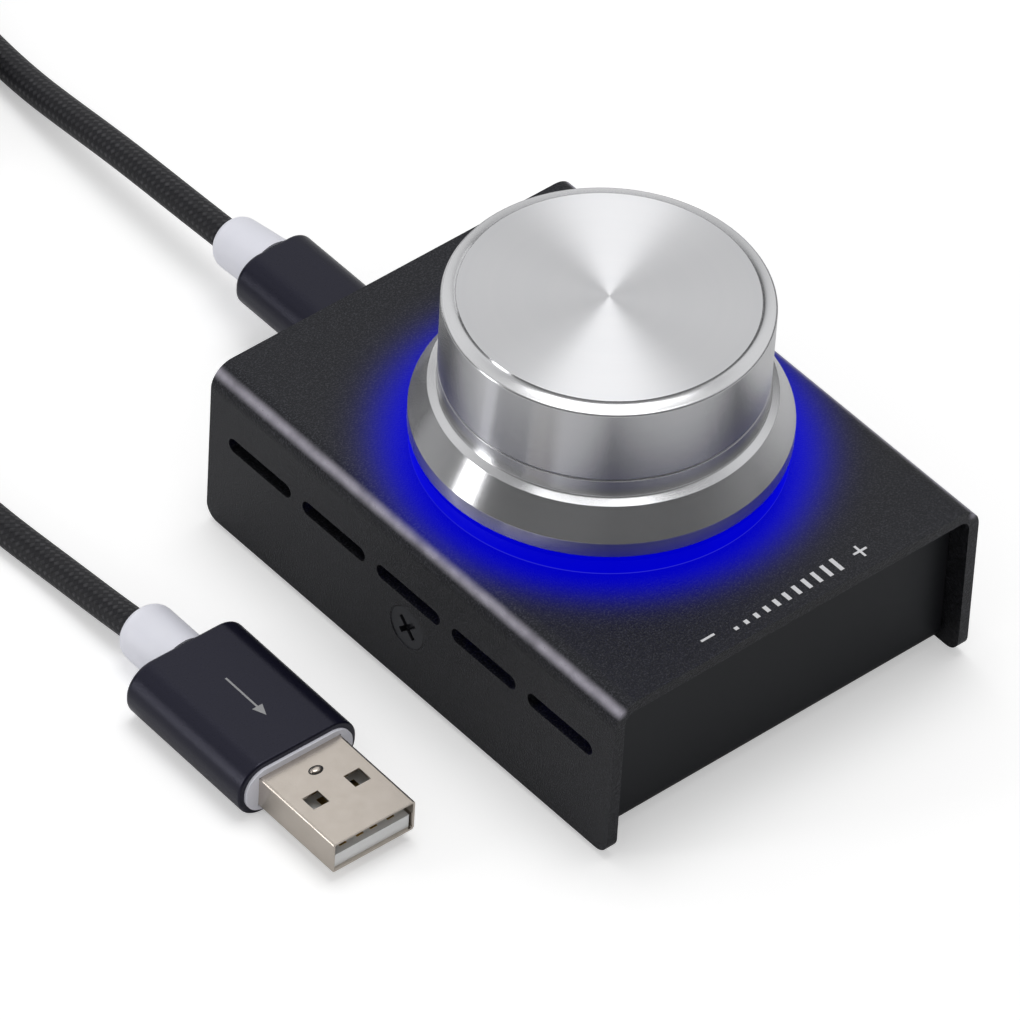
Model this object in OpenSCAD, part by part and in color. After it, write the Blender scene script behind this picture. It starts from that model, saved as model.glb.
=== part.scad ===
// Desktop volume control: a folded metal box with a large turned knob over a
// ring of light, a detachable braided cord and the plug for the computer.
// +X is to the right, +Y to the cord's end, +Z up. The origin is on the
// standing surface, under the middle of the box.

/* [Box cover] */
// Outside width of the box
box_w = 55.5; // [54:0.5:64]
// Outside length of the box
box_l = 72; // [70:0.5:84]
// Height of the cover, from its lower edge to its top
cover_h = 23.1; // [22:0.1:27]
// Thickness of the cover's sheet
sheet_t = 1.5; // [1.2:0.1:1.8]
// Outside radius of the cover's two folds
fold_r = 3; // [2.2:0.1:4]
// Radius of the lower corners of the side plates
plate_corner_r = 2; // [1:0.5:4]
// Height of the cover's lower edge above the standing surface
cover_lift = 0.8; // [0.5:0.1:0.9]
// Hole in the cover for the control's neck
neck_hole_d = 9; // [8:0.5:12]

/* [Side vents] */
// Number of vent slots on each side
vent_count = 5; // [3:2:5]
// Distance from the last vent slot to the end of the cover
vent_margin = 3.55; // [3.05:0.1:5.05]
// Width of a vent slot
vent_w = 2; // [1.5:0.1:3]
// Metal left between two vent slots
vent_web = 2.1; // [1.5:0.1:4]
// Height of the vent slots above the cover's lower edge
vent_up = 14.1; // [13.2:0.1:16]

/* [Side screws] */
// Height of the side screws above the cover's lower edge
side_screw_up = 8.8; // [7:0.1:9.4]
// Diameter of a side screw's thread
side_screw_d = 3; // [2:0.5:3]
// Diameter of a side screw's head
side_head_d = 5.6; // [5:0.1:6]
// Length of a side screw's thread behind its head
side_screw_len = 4; // [3.5:0.5:6]

/* [Base tray] */
// Thickness of the tray's sheet
tray_t = 1.5; // [1:0.1:1.8]
// Gap between the tray and the inside of the cover
tray_gap = 0.15; // [0.1:0.05:0.3]
// Depth of the end panels inside the ends of the cover
end_recess = 2.9; // [1.5:0.1:4]
// Outside radius of the tray's two folds
tray_fold_r = 2; // [1.9:0.1:3]
// Width of the tab that takes a side screw
tab_w = 10; // [8:0.5:14]
// Height of the tab above the tray's floor
tab_h = 11.5; // [11:0.5:12.5]
// Clearance round the port in the rear panel
port_window_gap = 0.4; // [0.2:0.1:0.8]

/* [Feet] */
// Diameter of a rubber foot
foot_d = 8; // [6:0.5:10]
// Thickness of a rubber foot
foot_t = 1; // [1:0.1:1.5]
// Distance of a foot's centre from the box's side
foot_inset = 7.5; // [7:0.5:10]

/* [Light ring] */
// How far the light ring stays inside the edge of the knob
ring_inset = 0.25; // [0:0.05:1]
// Inside diameter of the light ring
ring_hole_d = 16; // [14:1:20]
// Thickness of the light ring above the cover
ring_t = 2; // [1.5:0.1:2.1]
// Diameter of the ring's light-gathering legs
leg_d = 4; // [3:0.5:5]
// Distance of a leg from the knob's axis
leg_r = 16; // [14:0.5:17]
// Clearance of a leg in its hole in the cover
leg_gap = 0.15; // [0.1:0.05:0.3]

/* [Knob] */
// Distance of the knob's axis in front of the middle of the box
knob_forward = 0.9; // [0:0.1:2]
// Diameter of the knob at its rim
knob_d = 38.8; // [34:0.2:42]
// Diameter of the flat spun face on top of the knob
knob_face_d = 36; // [30:0.2:36.6]
// Height of the knob from its lower edge to its face
knob_h = 19.9; // [18.5:0.1:24]
// Height of the bevel round the face
bevel_h = 0.9; // [0.5:0.1:1.5]
// How far the side lies inside the rim
side_inset = 0.1; // [0.05:0.05:0.3]
// Height of the fine groove above the knob's lower edge
groove_up = 9.1; // [8.4:0.1:10]
// Width of the fine groove
groove_w = 0.3; // [0.2:0.1:0.6]
// Depth of the fine groove
groove_depth = 0.3; // [0.2:0.1:0.6]
// Height of the skirt's upper edge above the knob's lower edge
skirt_up = 6; // [5:0.1:6.6]
// Diameter of the skirt at its upper edge
skirt_top_d = 40.7; // [39.8:0.1:42]
// Diameter of the skirt at its widest
skirt_d = 44.9; // [42.5:0.1:48]
// Height of the straight band under the skirt
band_h = 2.1; // [1:0.1:3]
// Gap between the cover and the knob's lower edge
knob_gap = 2.85; // [2.85:0.05:4]
// Travel of the knob when it is pressed
press_travel = 0.5; // [0.3:0.1:0.5]
// Diameter of the hollow under the knob
hollow_d = 34; // [28:1:38]
// Depth of the hollow under the knob
hollow_h = 3; // [2:0.5:5]

/* [Knob hub] */
// Outside diameter of the hub pressed into the knob
hub_d = 12; // [10:0.5:16]
// Length of the hub
hub_h = 11; // [9:0.5:12]

/* [Circuit board] */
// Width of the circuit board
board_w = 46; // [44:0.5:50]
// Room between the circuit board and the front panel
board_room = 4.6; // [4.1:0.1:6]
// Thickness of the circuit board
board_t = 1.6; // [1:0.1:2]
// Gap between the circuit board and the rear panel
board_back_gap = 0.6; // [0.3:0.1:1.2]
// Height of the standoffs under the board
standoff_h = 3.1; // [2.9:0.1:3.6]
// Diameter of a standoff
standoff_d = 5; // [4:0.5:6]
// Distance of a board screw from the board's edges
board_screw_inset = 3; // [3:0.5:4]
// Diameter of a board screw's thread
board_screw_d = 2; // [2:0.5:2.5]
// Diameter of a board screw's head
board_head_d = 4; // [3.5:0.1:4.6]
// Height of a board screw's head
board_head_h = 1.2; // [0.8:0.1:1.6]

/* [Board parts] */
// Side of the controller chip
chip_w = 7; // [5:0.5:8]
// Height of the controller chip
chip_h = 1; // [0.8:0.1:1.4]
// Length of the timing crystal's can
crystal_l = 5; // [3.2:0.1:6]
// Width of the timing crystal's can
crystal_w = 3.2; // [2.5:0.1:3.6]
// Height of the timing crystal's can
crystal_h = 1.2; // [0.8:0.1:1.5]
// Length of a chip capacitor
capacitor_l = 2; // [1.6:0.1:2.4]
// Width of a chip capacitor
capacitor_w = 1.25; // [0.8:0.05:1.6]
// Height of a chip capacitor
capacitor_h = 1.1; // [0.6:0.1:1.4]
// Length of an indicator light
led_l = 3.5; // [2.8:0.1:3.6]
// Width of an indicator light
led_w = 2.8; // [2:0.1:3]
// Height of an indicator light
led_h = 1.9; // [1:0.1:2]
// Gap between an indicator light and the leg above it
led_gap = 0.4; // [0.3:0.1:0.8]

/* [Cord port] */
// Outside width of the port's shell
port_w = 7.7; // [7.5:0.1:8]
// Outside height of the port's shell
port_h = 2.7; // [2.6:0.1:3]
// Depth of the port
port_l = 5.9; // [5.8:0.1:6.5]
// Wall of the port's shell
port_wall = 0.3; // [0.2:0.05:0.3]
// Thickness of the port's tongue
tongue_t = 0.5; // [0.4:0.05:0.6]
// Width of the port's tongue
tongue_w = 3.6; // [3.2:0.1:4]

/* [Rotary control] */
// Width and length of the control's body
control_w = 12.4; // [12:0.1:13]
// Height of the control's body above the board
control_h = 6.2; // [6.2:0.1:6.5]
// Thickness of the metal frame over the base
frame_t = 0.8; // [0.5:0.1:0.8]
// Diameter of the control's neck
neck_d = 7; // [6.8:0.1:7.4]
// Length of the control's neck
neck_h = 7; // [5:0.5:7.5]
// Diameter of the shaft
shaft_d = 6; // [5:0.5:6]
// Length of the shaft above the control's body
shaft_len = 25; // [23:0.5:25.5]
// Length of the flat on the shaft
flat_len = 10; // [8:0.5:10]
// Thickness left at the flat on the shaft
flat_t = 4.5; // [4:0.1:5]
// Radial running clearance of the shaft
shaft_gap = 0.06; // [0.04:0.02:0.1]
// Diameter of the rotor inside the control
rotor_d = 10; // [9:0.5:10]
// Number of detent notches in the rotor
notch_count = 20; // [12:1:30]
// Diameter of the snap dome under the shaft
dome_d = 6; // [5:0.5:6.4]
// Height of the snap dome
dome_h = 0.8; // [0.8:0.1:1]

/* [Cord] */
// Diameter of the braided cord
cord_d = 4; // [3.5:0.5:4]
// Distance from the coil's axis to the middle of its innermost turn
coil_inner_r = 17.5; // [16:0.5:20]
// Number of turns that lie beside each other in the coil
coil_columns = 4; // [3:1:4]
// Number of layers in the coil
coil_layers = 2; // [1:1:3]
// Thickness of the tie round the coil
tie_t = 0.5; // [0.4:0.1:0.8]
// Width of the tie
tie_w = 8; // [5:0.5:8]

/* [Cord plug at the box] */
// Width of the plug's metal sleeve
small_sleeve_w = 11.6; // [10:0.1:12]
// Height of the plug's metal sleeve
small_sleeve_h = 7.4; // [7.2:0.1:8]
// Length of the plug's metal sleeve
small_sleeve_l = 23.7; // [20:0.1:26]
// Corner radius of the plug's metal sleeve
small_sleeve_r = 3.4; // [1.5:0.1:3.5]
// Gap between the plug's sleeve and the rear panel
small_plug_gap = 1; // [0.5:0.1:1]
// Length of the plug's metal tip in front of its core
tip_l = 6; // [5.8:0.1:6.2]
// Clearance of the metal tip in the port, all round
tip_gap = 0.12; // [0.08:0.02:0.2]
// Length of the white boot behind the sleeve
small_boot_l = 8.2; // [6:0.1:10]
// Droop of the white boot, in degrees
small_boot_droop = 7; // [0:1:10]

/* [Computer plug] */
// Width of the plug's metal sleeve
large_sleeve_w = 17.2; // [15:0.1:18]
// Height of the plug's metal sleeve
large_sleeve_h = 7.8; // [7.6:0.1:8.6]
// Length of the plug's metal sleeve
large_sleeve_l = 21.1; // [18:0.1:24]
// Corner radius of the plug's metal sleeve
large_sleeve_r = 3.7; // [2:0.1:3.7]
// Wall of the sleeves of both plugs
sleeve_wall = 0.8; // [0.5:0.1:1]
// How far a plug's core stands out in front of its sleeve
core_lip = 0.4; // [0.2:0.1:0.6]
// Outside width of the plug's shell
shell_w = 12; // [11.5:0.1:12.5]
// Outside height of the plug's shell
shell_h = 4.5; // [4.3:0.1:4.8]
// Length of the plug's shell, end to end
shell_l = 18.7; // [17:0.1:20]
// Length of the shell that stands in front of the sleeve
shell_out = 13.9; // [11.8:0.1:14]
// Wall of the plug's shell
shell_wall = 0.3; // [0.2:0.05:0.4]
// Thickness of the white tongue in the plug's mouth
mouth_tongue_t = 1.9; // [1.6:0.1:2]
// Width of a latch hole in the shell
latch_w = 2.3; // [1.8:0.1:2.6]
// Length of a latch hole in the shell
latch_l = 2.2; // [1.8:0.1:2.6]
// Distance between the two latch holes, middle to middle
latch_pitch = 6.1; // [5:0.1:7]
// Distance of the latch holes from the mouth
latch_back = 6.9; // [5:0.1:8]
// Width of a contact strip
contact_w = 1; // [0.8:0.1:1.2]
// Length of the white boot behind the sleeve
large_boot_l = 8.4; // [6:0.1:10]

/* [Hidden] */
$fn = 64;
eps = 0.01;

// Heights and faces of the box
cover_top = cover_lift + cover_h;
cover_under = cover_top - sheet_t;
inner_w = box_w - 2 * sheet_t;
tray_w = inner_w - 2 * tray_gap;
tray_half_l = box_l / 2 - end_recess;
tray_floor = foot_t + tray_t;
panel_top = cover_under - tray_gap;
side_screw_z = cover_lift + side_screw_up;
vent_z = cover_lift + vent_up;
vent_len = (box_l - 2 * vent_margin - (vent_count - 1) * vent_web) / vent_count;
vent_pitch = vent_len + vent_web;
ring_d = skirt_d - 2 * ring_inset;
head_cone_h = sheet_t - 0.2;
knob_y = -knob_forward;

// Knob heights and radii
knob_z = cover_top + knob_gap;
rim_r = knob_d / 2;
side_r = rim_r - side_inset;
shoulder_rise = 0.5;
shoulder_fillet = 0.4;
edge_round = 0.15;

// Board places
board_z = tray_floor + standoff_h;
board_top = board_z + board_t;
board_back = tray_half_l - tray_t - board_back_gap;
board_front = board_room + tray_t - tray_half_l;
board_l = board_back - board_front;
screw_x = board_w / 2 - board_screw_inset;
screw_y0 = board_front + board_screw_inset;
screw_y1 = board_back - board_screw_inset;
leg_angles = [45, 135, 225, 315];
leg_foot_z = board_top + led_h + led_gap;
chip_from_back = 13.5;
chip_y = board_back - chip_from_back;
crystal_x = 9.5;
crystal_y = chip_y + 0.5;
capacitor_pitch = 2.5;
capacitor_x = 9;
capacitor_back = 6;
capacitor_side = 6;
capacitor_places = [
  [-capacitor_x, chip_y - capacitor_pitch, 0], [-capacitor_x, chip_y, 0],
  [-capacitor_x, chip_y + capacitor_pitch, 0], [capacitor_side, chip_y + capacitor_back, 90],
  [-capacitor_side, chip_y + capacitor_back, 90],
  [capacitor_side + capacitor_x, chip_y + capacitor_pitch, 0]
];

// Rotary control, from the board up
control_top = board_top + control_h;
base_top = control_top - frame_t;
rotor_r = rotor_d / 2;
cavity_r = rotor_r + 0.3;
base_w = control_w - 0.8;
clasp_w = 8;
rotor_z = base_top - 2.5;
rotor_t = 1.5;
rotor_top = rotor_z + rotor_t;
collar_r = 3.2;
collar_top = rotor_top + 0.4;
wiper_t = 0.2;
ledge_z = rotor_z - wiper_t - 0.3;
dome_z = board_top + 1;
dome_well_r = dome_d / 2 + 0.3;
tip_r = 2;
tip_gap_z = 0.1;
tip_z = dome_z + dome_h + tip_gap_z;
shoulder_z = collar_top + press_travel + 0.3;
shaft_r = shaft_d / 2;
shaft_top = control_top + shaft_len;
spring_t = 0.25;
bump_r = 0.35;
notch_w = 0.5;
notch_depth = 0.25;
pin_w = 0.8;
pin_t = 0.4;
pin_below = 1.2;
pin_grip = 1;
pin_gap = 0.1;

// Knob hub
hub_z = shaft_top + 0.6 - hub_h + 0.8;
hub_bore_top = shaft_top + 0.2;

// Cord port and the plug in it
port_y1 = tray_half_l - 0.2;
port_y0 = port_y1 - port_l;
port_z = board_top + port_h / 2;
port_back_t = 0.4;
port_inner_w = port_w - 2 * port_wall;
port_inner_h = port_h - 2 * port_wall;
tip_w = port_inner_w - 2 * tip_gap;
tip_h = port_inner_h - 2 * tip_gap;
tip_wall = 0.25;
tongue_end = port_y1 - 0.9;
tongue_slot_h = tongue_t + 0.24;
tongue_slot_w = tongue_w + 0.4;
insert_gap = 0.1;
strip_t = 0.06;
small_y0 = tray_half_l + small_plug_gap;
small_y1 = small_y0 + small_sleeve_l;
small_front = small_y0 - core_lip;
tip_y0 = small_front - tip_l;
small_boot_r = 3.7;
small_boot_end_r = 3.45;

// Computer plug, lying on the surface with its mouth to the front. Its own
// lengths are measured back from the front of its sleeve.
large_place = [-48.5, -5.6, large_sleeve_h / 2];
large_turn = -1;
mouth_y = -shell_out;
tongue_gap = 0.2;
strip_l = 7.4;
shell_back = mouth_y + shell_l;
mouth_inset = 0.4;
large_boot_r = 3.85;
large_boot_end_r = 3.8;

// Both plugs: round edges of a sleeve, its rear wall and the boot's neck in it
front_round = 0.25;
rear_round = 0.6;
corner_steps = 8;
rear_wall = 1;
boot_neck_r = 2.6;
boot_neck_gap = 0.02;
boot_round = 1.9;

// Coil and cord route
cord_r = cord_d / 2;
coil_x = -24;
coil_y = 137;
coil_in = coil_inner_r - cord_r;
coil_out = coil_inner_r + cord_d * (coil_columns - 1) + cord_r;
coil_z0 = tie_t;
coil_z1 = coil_z0 + cord_d * coil_layers;
box_cord_route = [
  [0, 65.7, 7.6], [0, 70, 7.4], [0.1, 76, 7], [0.3, 82, 6.5], [0.6, 89, 5.7],
  [1, 97, 4.5], [1.6, 105, 3.2], [2.4, 113, 2.4], [3.5, 121, 2], [4.8, 129, 2.2],
  [5.5, 137, 2.5]
];
computer_cord_route = [
  [-53.5, 137, 6.5], [-53.5, 131, 6.4], [-53.4, 125, 5.9], [-53.2, 118, 4.9],
  [-52.8, 110, 3.6], [-52.1, 102, 2.6], [-51.3, 93, 2], [-50.5, 84, 2],
  [-49.8, 75, 2], [-49.4, 66, 2], [-49.1, 57, 2], [-48.9, 48, 2],
  [-48.5, 41, 2.1], [-48.4, 35, 2.6], [-48.4, 29, 3.2], [-48.3, 23.2, 3.8]
];

// Colours
black_coat = [0.14, 0.14, 0.15];
dark_metal = [0.18, 0.18, 0.2];
bright_metal = [0.78, 0.79, 0.8];
nickel = [0.72, 0.68, 0.62];
gold = [0.85, 0.66, 0.3];
white_plastic = [0.88, 0.88, 0.94];
dark_plastic = [0.1, 0.1, 0.12];
board_green = [0.05, 0.3, 0.16];
blue_light = [0.1, 0.2, 0.95, 0.8];
rubber_black = [0.06, 0.06, 0.06];
anodised = [0.15, 0.15, 0.2];
braid_black = [0.13, 0.13, 0.14];

// ---- Shared shapes -------------------------------------------------------

// A rectangle with four round corners, centred on the origin
module round_rect(w, h, r) {
  square([w - 2 * r, h], center = true);
  square([w, h - 2 * r], center = true);
  for (sx = [-1, 1], sy = [-1, 1])
    translate([sx * (w / 2 - r), sy * (h / 2 - r)])
      circle(r = r);
}

// A flat outline in X and Z, drawn out from y0 to y1
module along_y(y0, y1) {
  translate([0, y1, 0])
    rotate([90, 0, 0])
      linear_extrude(height = y1 - y0)
        children();
}

// A flat outline in Y and Z, drawn out from x0 to x1
module along_x(x0, x1) {
  translate([x0, 0, 0])
    rotate([90, 0, 90])
      linear_extrude(height = x1 - x0)
        children();
}

// A round bar along Y, from y0 to y1
module bar_y(y0, y1, r) {
  translate([0, y0, 0])
    rotate([-90, 0, 0])
      cylinder(r = r, h = y1 - y0);
}

// A closed solid through a row of rings, each with n corners
module loft(rings, n) {
  last = len(rings) - 1;
  walls = [
    for (i = [0 : last - 1], k = [0 : n - 1])
      let (a = i * n + k, b = i * n + (k + 1) % n)
        each [[a, b, b + n], [a, b + n, a + n]]
  ];
  ends = [
    [for (k = [0 : n - 1]) n - 1 - k],
    [for (k = [0 : n - 1]) last * n + k]
  ];
  polyhedron([for (ring = rings) each ring], concat(walls, ends));
}

// Puts what follows at each of the four board screws
module at_board_screws() {
  for (x = [-screw_x, screw_x], y = [screw_y0, screw_y1])
    translate([x, y, 0])
      children();
}

// Puts what follows at each leg of the light ring
module at_legs() {
  for (a = leg_angles)
    translate([leg_r * cos(a), knob_y + leg_r * sin(a), 0])
      rotate([0, 0, a])
        children();
}

// ---- Box -----------------------------------------------------------------

// Outline of the folded cover, open below, with wall "in" taken off inside
module cover_outline(in) {
  w = box_w - 2 * in;
  r = fold_r - in;
  top = cover_top - in;
  low = cover_lift - (in > 0 ? 1 : 0);
  translate([-w / 2, low])
    square([w, top - r - low]);
  translate([-w / 2 + r, low])
    square([w - 2 * r, top - low]);
  for (s = [-1, 1])
    translate([s * (w / 2 - r), top - r])
      circle(r = r);
}

// Cuts the sharp lower corners off both side plates
module plate_corners() {
  for (s = [-1, 1])
    difference() {
      translate([-box_w / 2 - 1, s > 0 ? box_l / 2 - plate_corner_r : -box_l / 2 - 1, cover_lift - 1])
        cube([box_w + 2, plate_corner_r + 1, plate_corner_r + 1]);
      translate([-box_w / 2 - 2, s * (box_l / 2 - plate_corner_r), cover_lift + plate_corner_r])
        rotate([0, 90, 0])
          cylinder(r = plate_corner_r, h = box_w + 4);
    }
}

// One vent slot through both side plates
module vent() {
  along_x(-box_w / 2 - 1, box_w / 2 + 1) {
    square([vent_len - vent_w, vent_w], center = true);
    for (s = [-1, 1])
      translate([s * (vent_len - vent_w) / 2, 0])
        circle(d = vent_w);
  }
}

// Countersunk hole for a side screw, its wide end at the side plate's face
module side_screw_hole() {
  translate([box_w / 2 - sheet_t - 1, 0, side_screw_z])
    rotate([0, 90, 0])
      cylinder(d = side_screw_d + 0.4, h = sheet_t + 2);
  translate([box_w / 2 - head_cone_h, 0, side_screw_z])
    rotate([0, 90, 0])
      cylinder(d1 = side_screw_d + 0.4, d2 = side_head_d + 0.3, h = head_cone_h + eps);
}

module cover() {
  color(black_coat)
    difference() {
      along_y(-box_l / 2, box_l / 2)
        cover_outline(0);
      along_y(-box_l / 2 - 1, box_l / 2 + 1)
        cover_outline(sheet_t);
      plate_corners();
      for (i = [0 : vent_count - 1])
        translate([0, (i - (vent_count - 1) / 2) * vent_pitch, vent_z])
          vent();
      side_screw_hole();
      mirror([1, 0, 0])
        side_screw_hole();
      translate([0, knob_y, cover_under - 1])
        cylinder(d = neck_hole_d, h = sheet_t + 2);
      at_legs()
        translate([0, 0, cover_under - 1])
          cylinder(d = leg_d + 2 * leg_gap, h = sheet_t + 2);
    }
}

// Side outline of the tray: a floor with a panel folded up at each end
module tray_outline() {
  difference() {
    union() {
      translate([-tray_half_l, foot_t + tray_fold_r])
        square([2 * tray_half_l, panel_top - foot_t - tray_fold_r]);
      translate([-tray_half_l + tray_fold_r, foot_t])
        square([2 * (tray_half_l - tray_fold_r), tray_fold_r + 1]);
      for (s = [-1, 1])
        translate([s * (tray_half_l - tray_fold_r), foot_t + tray_fold_r])
          circle(r = tray_fold_r);
    }
    translate([-tray_half_l + tray_t, tray_floor])
      square([2 * (tray_half_l - tray_t), panel_top]);
  }
}

// Tab that stands up at the tray's right edge for a side screw
module screw_tab() {
  difference() {
    translate([tray_w / 2 - tray_t, -tab_w / 2, tray_floor - eps])
      cube([tray_t, tab_w, tab_h + eps]);
    translate([tray_w / 2 - tray_t - 1, 0, side_screw_z])
      rotate([0, 90, 0])
        cylinder(d = side_screw_d, h = tray_t + 2);
  }
}

module base_tray() {
  color(dark_metal) {
    difference() {
      intersection() {
        along_x(-tray_w / 2, tray_w / 2)
          tray_outline();
        translate([0, 0, panel_top - box_w / 2])
          along_y(-tray_half_l - 1, tray_half_l + 1)
            round_rect(tray_w, box_w, fold_r - sheet_t + tray_gap);
      }
      translate([0, 0, port_z])
        along_y(tray_half_l - tray_t - 1, tray_half_l + 1)
          round_rect(port_w + 2 * port_window_gap, port_h + 2 * port_window_gap, 0.8);
    }
    screw_tab();
    mirror([1, 0, 0])
      screw_tab();
  }
}

// One countersunk screw with a cross recess, through the right side plate
module side_screw() {
  head_x = box_w / 2 - 0.1;
  difference() {
    union() {
      translate([head_x - head_cone_h, 0, side_screw_z])
        rotate([0, 90, 0])
          cylinder(d1 = side_screw_d, d2 = side_head_d, h = head_cone_h);
      translate([head_x - head_cone_h - side_screw_len, 0, side_screw_z])
        rotate([0, 90, 0])
          cylinder(d = side_screw_d, h = side_screw_len + 0.1);
    }
    for (a = [45, 135])
      translate([head_x, 0, side_screw_z])
        rotate([a, 0, 0])
          cube([1.6, 0.7, side_head_d * 0.6], center = true);
  }
}

module cover_screws() {
  color(rubber_black) {
    side_screw();
    mirror([1, 0, 0])
      side_screw();
  }
}

// One foot under the tray; sx and sy choose the corner
module foot(sx, sy) {
  color(rubber_black)
    translate([sx * (box_w / 2 - foot_inset), sy * (tray_half_l - foot_inset), 0]) {
      translate([0, 0, 0.3])
        cylinder(d = foot_d, h = foot_t - 0.3);
      cylinder(d1 = foot_d - 0.6, d2 = foot_d, h = 0.3);
    }
}

// ---- Light ring ----------------------------------------------------------

module light_ring() {
  color(blue_light) {
    translate([0, knob_y, cover_top])
      difference() {
        cylinder(d = ring_d, h = ring_t);
        translate([0, 0, -1])
          cylinder(d = ring_hole_d, h = ring_t + 2);
      }
    at_legs()
      translate([0, 0, leg_foot_z])
        cylinder(d = leg_d, h = cover_top - leg_foot_z + eps);
  }
}

// ---- Circuit board -------------------------------------------------------

module board_standoffs() {
  color(gold)
    at_board_screws()
      translate([0, 0, tray_floor])
        difference() {
          cylinder(d = standoff_d, h = standoff_h);
          translate([0, 0, 0.5])
            cylinder(d = board_screw_d, h = standoff_h);
        }
}

module board_screws() {
  color(bright_metal)
    at_board_screws()
      difference() {
        union() {
          translate([0, 0, tray_floor + 0.8])
            cylinder(d = board_screw_d, h = board_top - tray_floor - 0.8);
          translate([0, 0, board_top])
            cylinder(d1 = board_head_d, d2 = board_head_d - 0.6, h = board_head_h);
        }
        for (a = [0, 90])
          translate([0, 0, board_top + board_head_h])
            rotate([0, 0, a])
              cube([board_head_d * 0.6, 0.5, board_head_h], center = true);
      }
}

// Puts what follows at each of the control's five pins
module at_pins() {
  for (x = [-2.5, 0, 2.5])
    translate([x, knob_y - base_w / 2, 0])
      children();
  for (x = [-2.5, 2.5])
    translate([x, knob_y + base_w / 2, 0])
      children();
}

module main_board() {
  color(board_green)
    difference() {
      translate([-board_w / 2, board_front, board_z])
        cube([board_w, board_l, board_t]);
      at_board_screws()
        translate([0, 0, board_z - 1])
          cylinder(d = board_screw_d + 0.2, h = board_t + 2);
      at_pins()
        translate([0, 0, board_z - 1])
          cylinder(d = pin_w + 2 * pin_gap + 0.3, h = board_t + 2);
      for (s = [-1, 1])
        translate([s * (control_w / 2 - 0.2), knob_y, board_z])
          cube([1, 2.6, 3 * board_t], center = true);
    }
}

module controller_chip() {
  color(dark_plastic)
    translate([-chip_w / 2, chip_y - chip_w / 2, board_top])
      difference() {
        cube([chip_w, chip_w, chip_h]);
        translate([1, 1, chip_h - 0.1])
          cylinder(d = 0.8, h = 1);
      }
  color(bright_metal)
    for (a = [0, 90, 180, 270], i = [-3 : 3])
      translate([0, chip_y, board_top])
        rotate([0, 0, a])
          translate([chip_w / 2 - eps, i * 0.8 - 0.15, 0])
            cube([0.8, 0.3, 0.2]);
}

module timing_crystal() {
  color(bright_metal)
    translate([crystal_x, crystal_y, board_top]) {
      linear_extrude(height = crystal_h)
        round_rect(crystal_l, crystal_w, 0.6);
      linear_extrude(height = 0.3)
        round_rect(crystal_l + 0.5, crystal_w + 0.5, 0.8);
    }
}

module chip_capacitors() {
  color([0.62, 0.5, 0.36])
    for (p = capacitor_places)
      translate([p[0], p[1], board_top])
        rotate([0, 0, p[2]]) {
          translate([-capacitor_l / 2, -capacitor_w / 2, 0.05])
            cube([capacitor_l, capacitor_w, capacitor_h - 0.1]);
          for (s = [-1, 1])
            translate([s * (capacitor_l / 2 - 0.2) - 0.2, -capacitor_w / 2 - 0.05, 0])
              cube([0.4, capacitor_w + 0.1, capacitor_h]);
        }
}

module indicator_leds() {
  color([0.92, 0.93, 0.9])
    at_legs()
      translate([0, 0, board_top])
        difference() {
          translate([-led_l / 2, -led_w / 2, 0])
            cube([led_l, led_w, led_h]);
          translate([0, 0, led_h - 0.4])
            cylinder(d1 = led_w - 1, d2 = led_w - 0.5, h = 0.5);
        }
}

// ---- Cord port -----------------------------------------------------------

module port_shell() {
  color(bright_metal)
    translate([0, 0, port_z])
      difference() {
        along_y(port_y0, port_y1)
          round_rect(port_w, port_h, 0.5);
        along_y(port_y0 + port_back_t, port_y1 + 1)
          round_rect(port_inner_w, port_inner_h, 0.3);
      }
}

module port_tongue() {
  color(dark_plastic)
    translate([0, 0, port_z])
      along_y(port_y0 + port_back_t, tongue_end)
        square([tongue_w, tongue_t], center = true);
}

module port_contacts() {
  color(gold)
    for (i = [-2 : 2])
      translate([i * 0.65 - 0.15, port_y0 + port_back_t + 0.2, port_z - tongue_t / 2 - strip_t])
        cube([0.3, tongue_end - port_y0 - port_back_t - 0.6, strip_t]);
}

// ---- Rotary control ------------------------------------------------------

// Five pin blades, moulded into the base
module pin_blades() {
  at_pins()
    translate([-pin_w / 2, -pin_t / 2, board_z - pin_below])
      cube([pin_w, pin_t, board_t + pin_below + pin_grip]);
}

module control_base() {
  color(dark_plastic)
    difference() {
      translate([-base_w / 2, knob_y - base_w / 2, board_top])
        cube([base_w, base_w, base_top - board_top]);
      translate([0, knob_y, ledge_z])
        cylinder(r = cavity_r, h = base_top);
      translate([0, knob_y, dome_z])
        cylinder(r = dome_well_r, h = base_top);
      pin_blades();
    }
}

module control_frame() {
  color(bright_metal)
    translate([0, knob_y, 0]) {
      difference() {
        translate([-control_w / 2, -control_w / 2, base_top])
          cube([control_w, control_w, frame_t]);
        translate([0, 0, base_top - 1])
          cylinder(r = shaft_r + shaft_gap, h = frame_t + 2);
      }
      for (s = [-1, 1]) {
        translate([s * (control_w / 2 - 0.2) - 0.2, -clasp_w / 2, board_top])
          cube([0.4, clasp_w, base_top - board_top + eps]);
        translate([s * (control_w / 2 - 0.2) - 0.2, -1, board_z - 0.4])
          cube([0.4, 2, board_top - board_z + 0.4 + eps]);
      }
    }
}

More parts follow.
